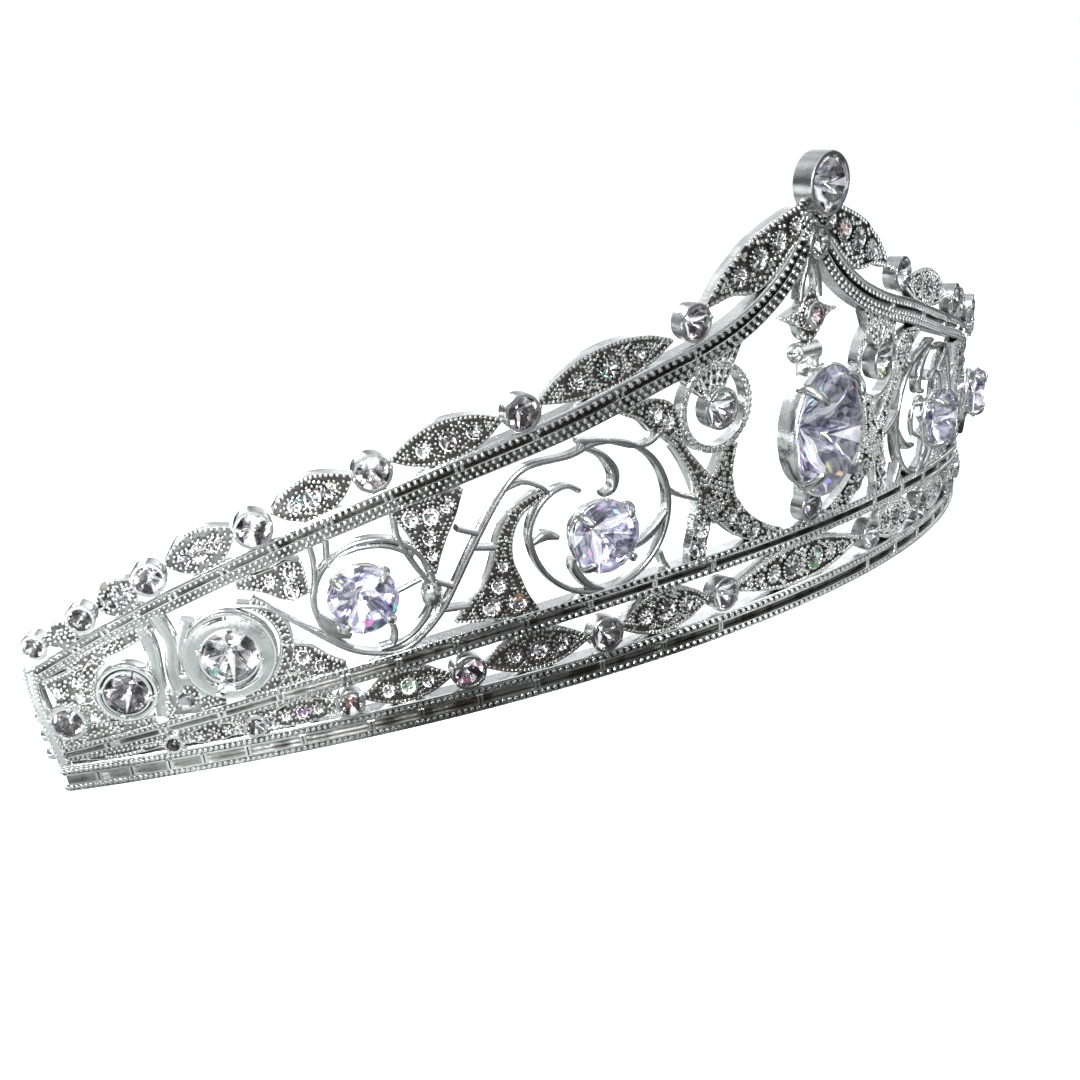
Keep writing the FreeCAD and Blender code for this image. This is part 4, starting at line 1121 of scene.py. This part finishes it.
# %% [markdown]
# ## Links, arms and the boss
# Short straps tie the scroll to the panels and rails, and thicker arms inside the ring carry
# the claw setting.  The arms swell in the middle, as forged wire does.  An oval boss covers a
# joint; a ball stretched in its points gives it, so the object itself stays unscaled.

# %% Short straps
LINKS = [
    [(31.0, 26.9), (28.0, 26.4), (25.0, 25.2), (22.9, 25.0), (21.2, 26.0)],
    [(20.8, 19.6), (19.4, 18.5), (17.0, 17.4)], [(21.9, 12.6), (21.5, 11.4), (20.9, 10.3)],
    [(39.4, 23.6), (37.4, 24.0), (35.6, 23.2), (34.7, 22.3)], [(42.4, 19.6), (44.4, 20.6)],
    [(43.0, 18.2), (40.8, 17.7)], [(46.8, 12.3), (44.0, 12.0)], [(47.2, 15.6), (45.6, 14.6)]]
ARMS = [[(30.6, 26.3), (28.4, 24.9), (27.1, 22.8), (27.4, 21.0), (28.6, 20.6)],
        [(21.0, 17.0), (22.2, 15.6), (24.2, 14.3), (26.4, 14.0)],
        [(29.2, 10.2), (31.0, 11.2), (32.3, 13.2), (32.4, 14.4)],
        [(36.8, 17.2), (35.2, 17.7), (33.9, 17.2)]]
links = Pile()
straps(links, LINKS, 0.31)
straps(links, ARMS, 0.30, 0.58, 0.32)
boss_points, boss_faces = ball()
BOSS_HALVES = (1.15, 1.8, 1.0)
put(links, (boss_points * BOSS_HALVES, boss_faces), 47.6, 14.3, 0.15)
make_pair("scroll_straps", links, [POLISHED])

# %% [markdown]
# ## The second ring
# The second ring is smaller and open below, where the scroll passes under it.  Its arms reach
# in to the claws of the second stone and out to the panels.

# %% The second ring
SECOND_ARMS = [
    [(50.4, 23.4), (50.2, 20.8), (48.9, 17.6), (47.8, 15.6)],
    [(49.0, 18.9), (51.4, 20.4), (54.0, 20.8), (56.2, 20.4)],
    [(48.6, 16.2), (49.9, 15.8), (51.2, 15.4)], [(52.2, 9.7), (51.8, 11.2), (52.4, 12.9)],
    [(58.9, 17.0), (58.5, 19.8), (58.7, 22.6)], [(57.3, 19.4), (57.0, 22.6)]]
second = Pile()
straps(second, [circle(*RING_TWO, -60, 272, 19)], 0.33)
straps(second, SECOND_ARMS, 0.31)
straps(second, [[(59.1, 14.6), (58.0, 12.9), (56.2, 11.7)]], 0.4, 0.85, 0.4)
make_pair("second_ring", second, [POLISHED])

# %% [markdown]
# ## The upright bars
# They are the same straps made broad, because here the strip stands flat to the eye.

# %% The upright bars
UPRIGHTS = [[(71.2, 16.6), (72.2, 13.8), (71.9, 10.8), (71.0, 8.4)],
            [(73.9, 17.6), (73.2, 14.6), (73.7, 11.4), (73.2, 7.2)],
            [(75.6, 16.9), (75.2, 14.4), (75.3, 11.9), (75.6, 6.9)], [(73.2, 10.4), (71.7, 10.2)]]
uprights = Pile()
straps(uprights, UPRIGHTS, 0.72)
make_pair("open_bars", uprights, [POLISHED])

# %% [markdown]
# ## Claw settings
# A large stone stands in a basket: a foot ring, a gallery ring under the girdle, and four claws
# that lean out, pass the girdle and bend in over the crown.  Rings are a small circle turned
# about the axis.  A claw is an oval section carried along a curve in an upright plane.

# %% Baskets
def hoop(radius, z, wire, steps=48):
    """A ring of round wire: a circle of the wire's radius turned about the axis."""
    a = np.linspace(0, 2 * math.pi, 10, endpoint=False)
    return turned(np.stack([radius + wire * np.cos(a), z + wire * np.sin(a)], axis=1), steps)


def claw(radius, foot, wire):
    """A claw at angle 0: rings about a curve of (reach, height, wire radius).  Each ring lies
    in the plane of the curve's normal and the direction across it, thin one way and broad the
    other."""
    corners, thin, broad = 12, 0.8, 1.15
    stops = [(0.62, foot / radius, 0.9), (0.84, -0.36, 0.95), (1.04, -0.06, 1.05),
             (1.02, 0.12, 1.15), (0.93, 0.25, 1.2), (0.83, 0.33, 1.1), (0.76, 0.37, 0.75),
             (0.73, 0.385, 0.2)]
    path = smooth(stops, per=4)
    x, z, size = path[:, 0] * radius, path[:, 1] * radius, path[:, 2:3] * wire
    dx, dz = np.gradient(x), np.gradient(z)
    length = np.hypot(dx, dz)
    a = np.linspace(0, 2 * math.pi, corners, endpoint=False)[None]
    off, wide = size * np.cos(a) * thin, size * np.sin(a) * broad
    points = np.stack([x[:, None] - (dz / length)[:, None] * off, -wide,
                       z[:, None] + (dx / length)[:, None] * off], axis=-1)
    first = np.arange(corners)[None]
    last = first + (len(path) - 1) * corners
    return points.reshape(-1, 3), [grid(len(path), corners), first[:, ::-1], last]


def spun(shape, angle, stretch=1.0):
    """A shape turned about its axis by an angle in degrees, then stretched along y."""
    a = math.radians(angle)
    x, y, z = shape[0].T
    turned_x, turned_y = x * math.cos(a) - y * math.sin(a), x * math.sin(a) + y * math.cos(a)
    return np.stack([turned_x, turned_y * stretch, z], axis=1), shape[1]


print("a claw has", len(claw(4, -3, 0.35)[1][0]), "faces")

# %% [markdown]
# ## The two round lavender stones
# Both baskets follow from the stone's radius.  The foot ring is 0.62 of it and the gallery ring
# 0.86, and the claws stand between the directions of the scroll's arms.

# %% Round stones in claws
# painted shade: the claws are darkened and dulled
CLAW_ANGLES, CLAW_PAINTED_SHADE, GIRDLE_N, HOOP_WIRE = (45, 135, 225, 315), 0.5, 3.0, 0.38
for name, (s, h), radius in (("large", (29.8, 17.0), 4.0), ("second", (54.7, 16.3), 3.6)):
    basket, stones = Pile(), Pile()
    for reach, drop in ((0.62, 0.84), (0.86, 0.34)):
        put(basket, hoop(reach * radius, -drop * radius, HOOP_WIRE), s, h, GIRDLE_N)
    one = claw(radius, -0.84 * radius, 0.35)
    for angle in CLAW_ANGLES:
        put(basket, spun(one, angle), s, h, GIRDLE_N, tone=CLAW_PAINTED_SHADE)
    set_stones(stones, s, h, GIRDLE_N, radius)
    make_pair(name + "_claw_setting", basket, [POLISHED])
    make_pair(name + "_round_stones", stones, LAVENDER)

# %% [markdown]
# ## The oval stone
# An oval brilliant is a round one stretched along its length, facets and all, and so is its
# setting: a deep cup with a rolled lip, and four claws.  Stretching the points of round shapes
# keeps the stone and its setting in step.

# %% The oval stone and its setting
OVAL_HALF, OVAL_STRETCH, OVAL_H, OVAL_N = 6.0, 1.25, 22.0, 3.6
oval = Pile()
put(oval, spun((BRILLIANT[0] * OVAL_HALF, BRILLIANT[1]), 0, OVAL_STRETCH), 0, OVAL_H, OVAL_N,
    shade_smooth=False, backs=FOIL_FACES)
make("pendant_oval_stone", oval, LAVENDER)
cradle = Pile()
wall = [(0.80, -2.9), (0.93, -2.9), (0.99, -1.5), (1.03, -0.8), (1.035, -0.12), (1.01, 0.04),
        (0.985, 0.0), (0.975, -0.3), (0.90, -1.5)]
wall = [(r * OVAL_HALF, z) for r, z in wall]
put(cradle, spun(turned(wall, steps=64), 0, OVAL_STRETCH), 0, OVAL_H, OVAL_N)
for angle in CLAW_ANGLES:
    put(cradle, spun(claw(OVAL_HALF, -2.7, 0.40), angle, OVAL_STRETCH), 0, OVAL_H, OVAL_N,
        tone=CLAW_PAINTED_SHADE)
make("pendant_setting", cradle, [POLISHED])

# %% [markdown]
# ## Plain cups toward the ends
# Three polished cups get smaller toward the end.  Each is a turned dish with a broad sloping
# wall that throws light onto its stone, and four round prongs.

# %% Outer cups
# (s, h, cup radius, stone radius)
OUTER_CUPS = [(67.9, 12.6, 4.7, 2.9), (78.2, 10.5, 3.1, 2.3), (84.5, 8.3, 2.0, 1.6)]
CUP_N = 1.6
cups, cup_stones = Pile(), Pile()
for s, h, cup, stone in OUTER_CUPS:
    dish = [(0.74 * stone, -2.1), (0.88 * cup, -2.1), (cup, -1.0), (cup, 0.1), (cup - 0.14, 0.3),
            (cup - 0.36, 0.3), (cup - 0.5, 0.05), (0.5 * (cup + stone), -0.5),
            (stone + 0.3, -0.15), (stone + 0.12, 0.25), (stone - 0.08, 0.28),
            (stone - 0.06, 0.05), (stone, -0.12), (0.74 * stone, -0.9)]
    # painted shade: the cups are a little darkened and dulled
    put(cups, turned(dish, steps=56), s, h, CUP_N, tone=0.78)
    prongs(cups, s, h, CUP_N + 0.3, stone + 0.05, (20, 110, 200, 290), 0.4)
    set_stones(cup_stones, s, h, CUP_N, stone)
make_pair("outer_cups", cups, [POLISHED])
make_pair("outer_stones", cup_stones, CLEAR)

# %% [markdown]
# ## The drop ring
# A beaded ring hangs under the upper rail and holds a bezel on a fan of five struts.  The ring
# is a turned channel with 40 beads in it.  Each strut runs from the bezel's edge up to the rail
# and is a small tray with one row of beads.

# %% The drop ring and its fan
DROP_S, DROP_H = DROP
RING_RADIUS, RING_BEADS = 4.65, 40
drop = Pile()
ring_profile = [(4.2, -0.7), (5.1, -0.7), (5.1, 0.6), (5.02, 0.7), (4.92, 0.7), (4.86, 0.5),
                (4.44, 0.5), (4.38, 0.7), (4.28, 0.7), (4.2, 0.6)]
put(drop, turned(ring_profile, steps=72), DROP_S, DROP_H, 0)
beads = circle(DROP_S, DROP_H, RING_RADIUS, 0, 360 - 360 / RING_BEADS, RING_BEADS)
put(drop, BEAD, beads[:, 0], beads[:, 1], BEAD_N + 0.1, 0.31, tone=BEAD_POLISH_SHADE)
STRUTS = [(10.9, 68), (12.7, 82), (14.5, 96), (16.4, 114), (18.4, 134)]    # (top s, angle)
for i, (top, angle) in enumerate(STRUTS):
    a = math.radians(angle)
    start = (DROP_S + 2.5 * math.cos(math.pi - a), DROP_H + 2.5 * math.sin(a))
    strut = with_width([start, (top, 33.3 - 0.31 * (top - 12))], 0.42)
    tray(drop, strut, 0.02 * (i + 1))
    bead_row(drop, strut, 0, BEAD_N, 0.29)
make_pair("drop_ring", drop, [DARK_SET])

# %% [markdown]
# ## The middle column
# Down the arch hang a forked neck, a four-pointed link, a short tube and the oval stone.  They
# look loose, but are taken to be soldered.  The link is two slim trays crossed, one upright and one level;
# their thin tips stay sharp, where one outline round all four points would round them off.

# %% The kite link
KITE_UPRIGHT = [(0, 37.9, 0.15), (0, 36.4, 1.3), (0, 34.9, 2.1), (0, 33.6, 1.9), (0, 32.3, 1.2),
                (0, 31.7, 0.2)]
KITE_ARMS = [(-4.2, 34.9, 0.12), (-2.6, 34.85, 0.75), (0, 34.7, 1.7), (2.6, 34.85, 0.75),
             (4.2, 34.9, 0.12)]
kite = Pile()
tray(kite, KITE_UPRIGHT)
tray(kite, KITE_ARMS, 0.03)
bead_field(kite, [KITE_UPRIGHT, KITE_ARMS], [(0, 34.8, 1.55)], BEAD_N, *COARSE)
make("kite_link", kite, [DARK_SET])

# %% [markdown]
# ## The neck and the tube
# The neck is two strands that part from a short stem.  Below the link a short round tube lies
# across, with a ball in each end, and flat tabs join it to the oval setting and the foot.

# %% Neck, tube and tabs
STRAND = [(0.5, 41.6), (0.75, 40.2), (1.35, 38.6), (1.6, 36.6)]
neck = Pile()
straps(neck, [STRAND, [(-s, h) for s, h in STRAND]], 0.36)
straps(neck, [[(0, 40.4), (0, 41.6)]], 0.8, 1.0)
make("neck_loop", neck, [POLISHED])

TUBE_H, TUBE_HALF, TUBE_RADIUS = 30.5, 1.6, 1.25
tube = rounded(TUBE_RADIUS, 0.0, 24, 2.0)
# painted shade: the whole tube is darkened and dulled
tube[:, 3] = 0.55
column = Pile()
bar(column, [(s, TUBE_H, TUBE_RADIUS) for s in (-TUBE_HALF, TUBE_HALF)], tube)
bar(column, with_width([(0, 27.2), (0, 30.2)], 0.9), rounded(1.15, 0.45, squareness=4))
bar(column, with_width([(0, 13.4), (0, 17.0)], 0.8), rounded(1.05, 0.35, squareness=4))
for s in (-TUBE_HALF, TUBE_HALF):
    put(column, ball(), s, TUBE_H, 0, 1.0)
make("pendant_links", column, [DARK_SET])

# %% [markdown]
# ## The camera
# The camera stands outside the tiara's left half, level with its top, and so close that the
# near end looks much larger than the far one.  Its directions are written down and not worked
# out from a target, because they also hold a roll.

# %% The camera
camera_data = bpy.data.cameras.new("camera")
camera_data.lens, camera_data.sensor_width = 53.34, 36.0    # in millimetres
camera_data.clip_start, camera_data.clip_end = 0.005, 20.0
camera = bpy.data.objects.new("camera", camera_data)
bpy.context.scene.collection.objects.link(camera)
right = np.array([0.71979, -0.67633, -0.15645])
down = np.array([-0.24489, -0.03650, -0.96886])
placing = np.eye(4)
placing[:3, 0], placing[:3, 1], placing[:3, 2] = right, -down, -np.cross(right, down)
placing[:3, 3] = np.array([-143.480, -129.306, 48.590]) * MM
camera.matrix_world = Matrix(placing)
bpy.context.scene.camera = camera
print("camera", round(float(np.linalg.norm(placing[:3, 3])), 3), "m from the middle")

# %% [markdown]
# ## The world
# Jewellery is lit with large soft boxes and stands on white.  The metal shows what it reflects,
# so the world is not one grey.  It is bright overhead and on a card behind to the right, patchy
# all round as a room is, and dim at the far left, which gives each bead a white cap and a black
# side.  The camera itself sees only white, as a studio's backdrop lit on its own.

# %% The world
world = bpy.data.worlds.new("studio")
world.use_nodes = True
world.node_tree.nodes.clear()
sky = Wire(world.node_tree)
# a direction's x is to the right, y away from the tiara's front, and z up
direction = sky.node("ShaderNodeTexCoord", output=0)
x, y, z = [sky.node("ShaderNodeSeparateXYZ", {}, {"Vector": direction}, i) for i in range(3)]
overhead = z.spread_to(0.15, 0.7, 0.0, 1.0)
clutter = sky.node("ShaderNodeTexNoise", {}, {"Vector": direction, "Scale": 2.6, "Detail": 2.0})
room = clutter.spread_to(0.44, 0.56, 0.02, 0.52) * x.spread_to(-0.95, -0.35, 0.35, 1.0)
card = x.spread_to(0.5, 0.75, 0.0, 1.0) * y.spread_to(0.1, 0.4, 0.0, 0.9)
level = room + overhead * 0.6 + card
seen = sky.node("ShaderNodeLightPath")
glow = seen.mix((0.94, 0.98, 1.0, 1), (1, 1, 1, 1))
strength = seen + (1 - seen) * level
backdrop = sky.node("ShaderNodeBackground", {}, {"Color": glow, "Strength": strength})
sky.node("ShaderNodeOutputWorld", {}, {"Surface": backdrop})
bpy.context.scene.world = world
print("the world has", len(world.node_tree.nodes), "nodes")

# %% [markdown]
# ## Soft boxes
# Four square lights do the shaping: a key from the front left, a low one that reaches under the
# leaves, a faint fill from the right and a large one behind.  An area light shines along its
# own -Z, so its upright axes are built from the line back to its target.

# %% Soft boxes
def soft_box(name, place, aim, size, power):
    """A square area light at a place, turned towards aim, in metres and watts."""
    light = bpy.data.lights.new(name, "AREA")
    light.shape, light.size, light.energy = "SQUARE", size, power
    thing = bpy.data.objects.new(name, light)
    bpy.context.scene.collection.objects.link(thing)
    back = np.array(place, float) - aim
    back /= np.linalg.norm(back)
    side = np.cross((0, 0, 1), back)
    side /= np.linalg.norm(side)
    frame_of_light = np.eye(4)
    frame_of_light[:3, 0], frame_of_light[:3, 1] = side, np.cross(back, side)
    frame_of_light[:3, 2], frame_of_light[:3, 3] = back, place
    thing.matrix_world = Matrix(frame_of_light)
    print(name, power, "W")


TIARA = (0, 0, 0.02)
soft_box("key box", (-0.50, -0.35, 0.60), TIARA, 0.30, 9.0)
soft_box("low box", (-0.55, -0.9, 0.22), TIARA, 0.25, 6.0)
soft_box("fill box", (0.7, -0.5, 0.4), TIARA, 0.4, 0.6)
soft_box("back box", (0.1, 0.9, 0.6), TIARA, 0.6, 4.0)

# %% [markdown]
# ## The floor
# The tiara stands on a pale cloth.  To the camera the cloth is white and glows a little, so
# that it melts into the backdrop.  To the metal it is a patchy grey, paler at the left, because
# polished silver over pure white would have nothing dark to show.

# %% The floor
floor_data = bpy.data.meshes.new("floor")
floor_data.from_pydata([(-8, -8, 0), (8, -8, 0), (8, 8, 0), (-8, 8, 0)], [], [(0, 1, 2, 3)])
floor_material, wire = new_material("pale floor")
place = wire.node("ShaderNodeTexCoord", output=3)
x = wire.node("ShaderNodeSeparateXYZ", {}, {"Vector": place})
cloth = wire.node("ShaderNodeTexNoise", {}, {"Vector": place, "Scale": 34.0, "Detail": 1.0})
paleness = cloth.spread_to(0.42, 0.58, 0.0, 0.7) - x.spread_to(0.05, 0.2, 0.0, 0.5)
table = paleness.mix((0.05, 0.05, 0.05, 1), (0.52, 0.56, 0.55, 1))
table = x.spread_to(-0.13, -0.06, 0.9, 0.0).mix(table, (0.88, 0.93, 0.92, 1))
dim = wire.node("ShaderNodeBsdfPrincipled", {},
                {"Base Color": table, "Roughness": 1.0, "Specular IOR Level": 0.0})
lit = wire.node("ShaderNodeBsdfPrincipled", {},
                {"Base Color": (0.9, 0.9, 0.9, 1), "Roughness": 0.9,
                 "Emission Color": (1, 1, 1, 1), "Emission Strength": 0.72})
eye = wire.node("ShaderNodeLightPath")
finish_material(wire, "ShaderNodeMixShader", {}, {0: eye, 1: dim, 2: lit})
floor_data.materials.append(floor_material)
floor = bpy.data.objects.new("floor", floor_data)
bpy.context.scene.collection.objects.link(floor)
bpy.context.scene.view_settings.view_transform = "Standard"
print("the floor is", round(2 * floor_data.vertices[2].co.x), "m wide")

# %% [markdown]
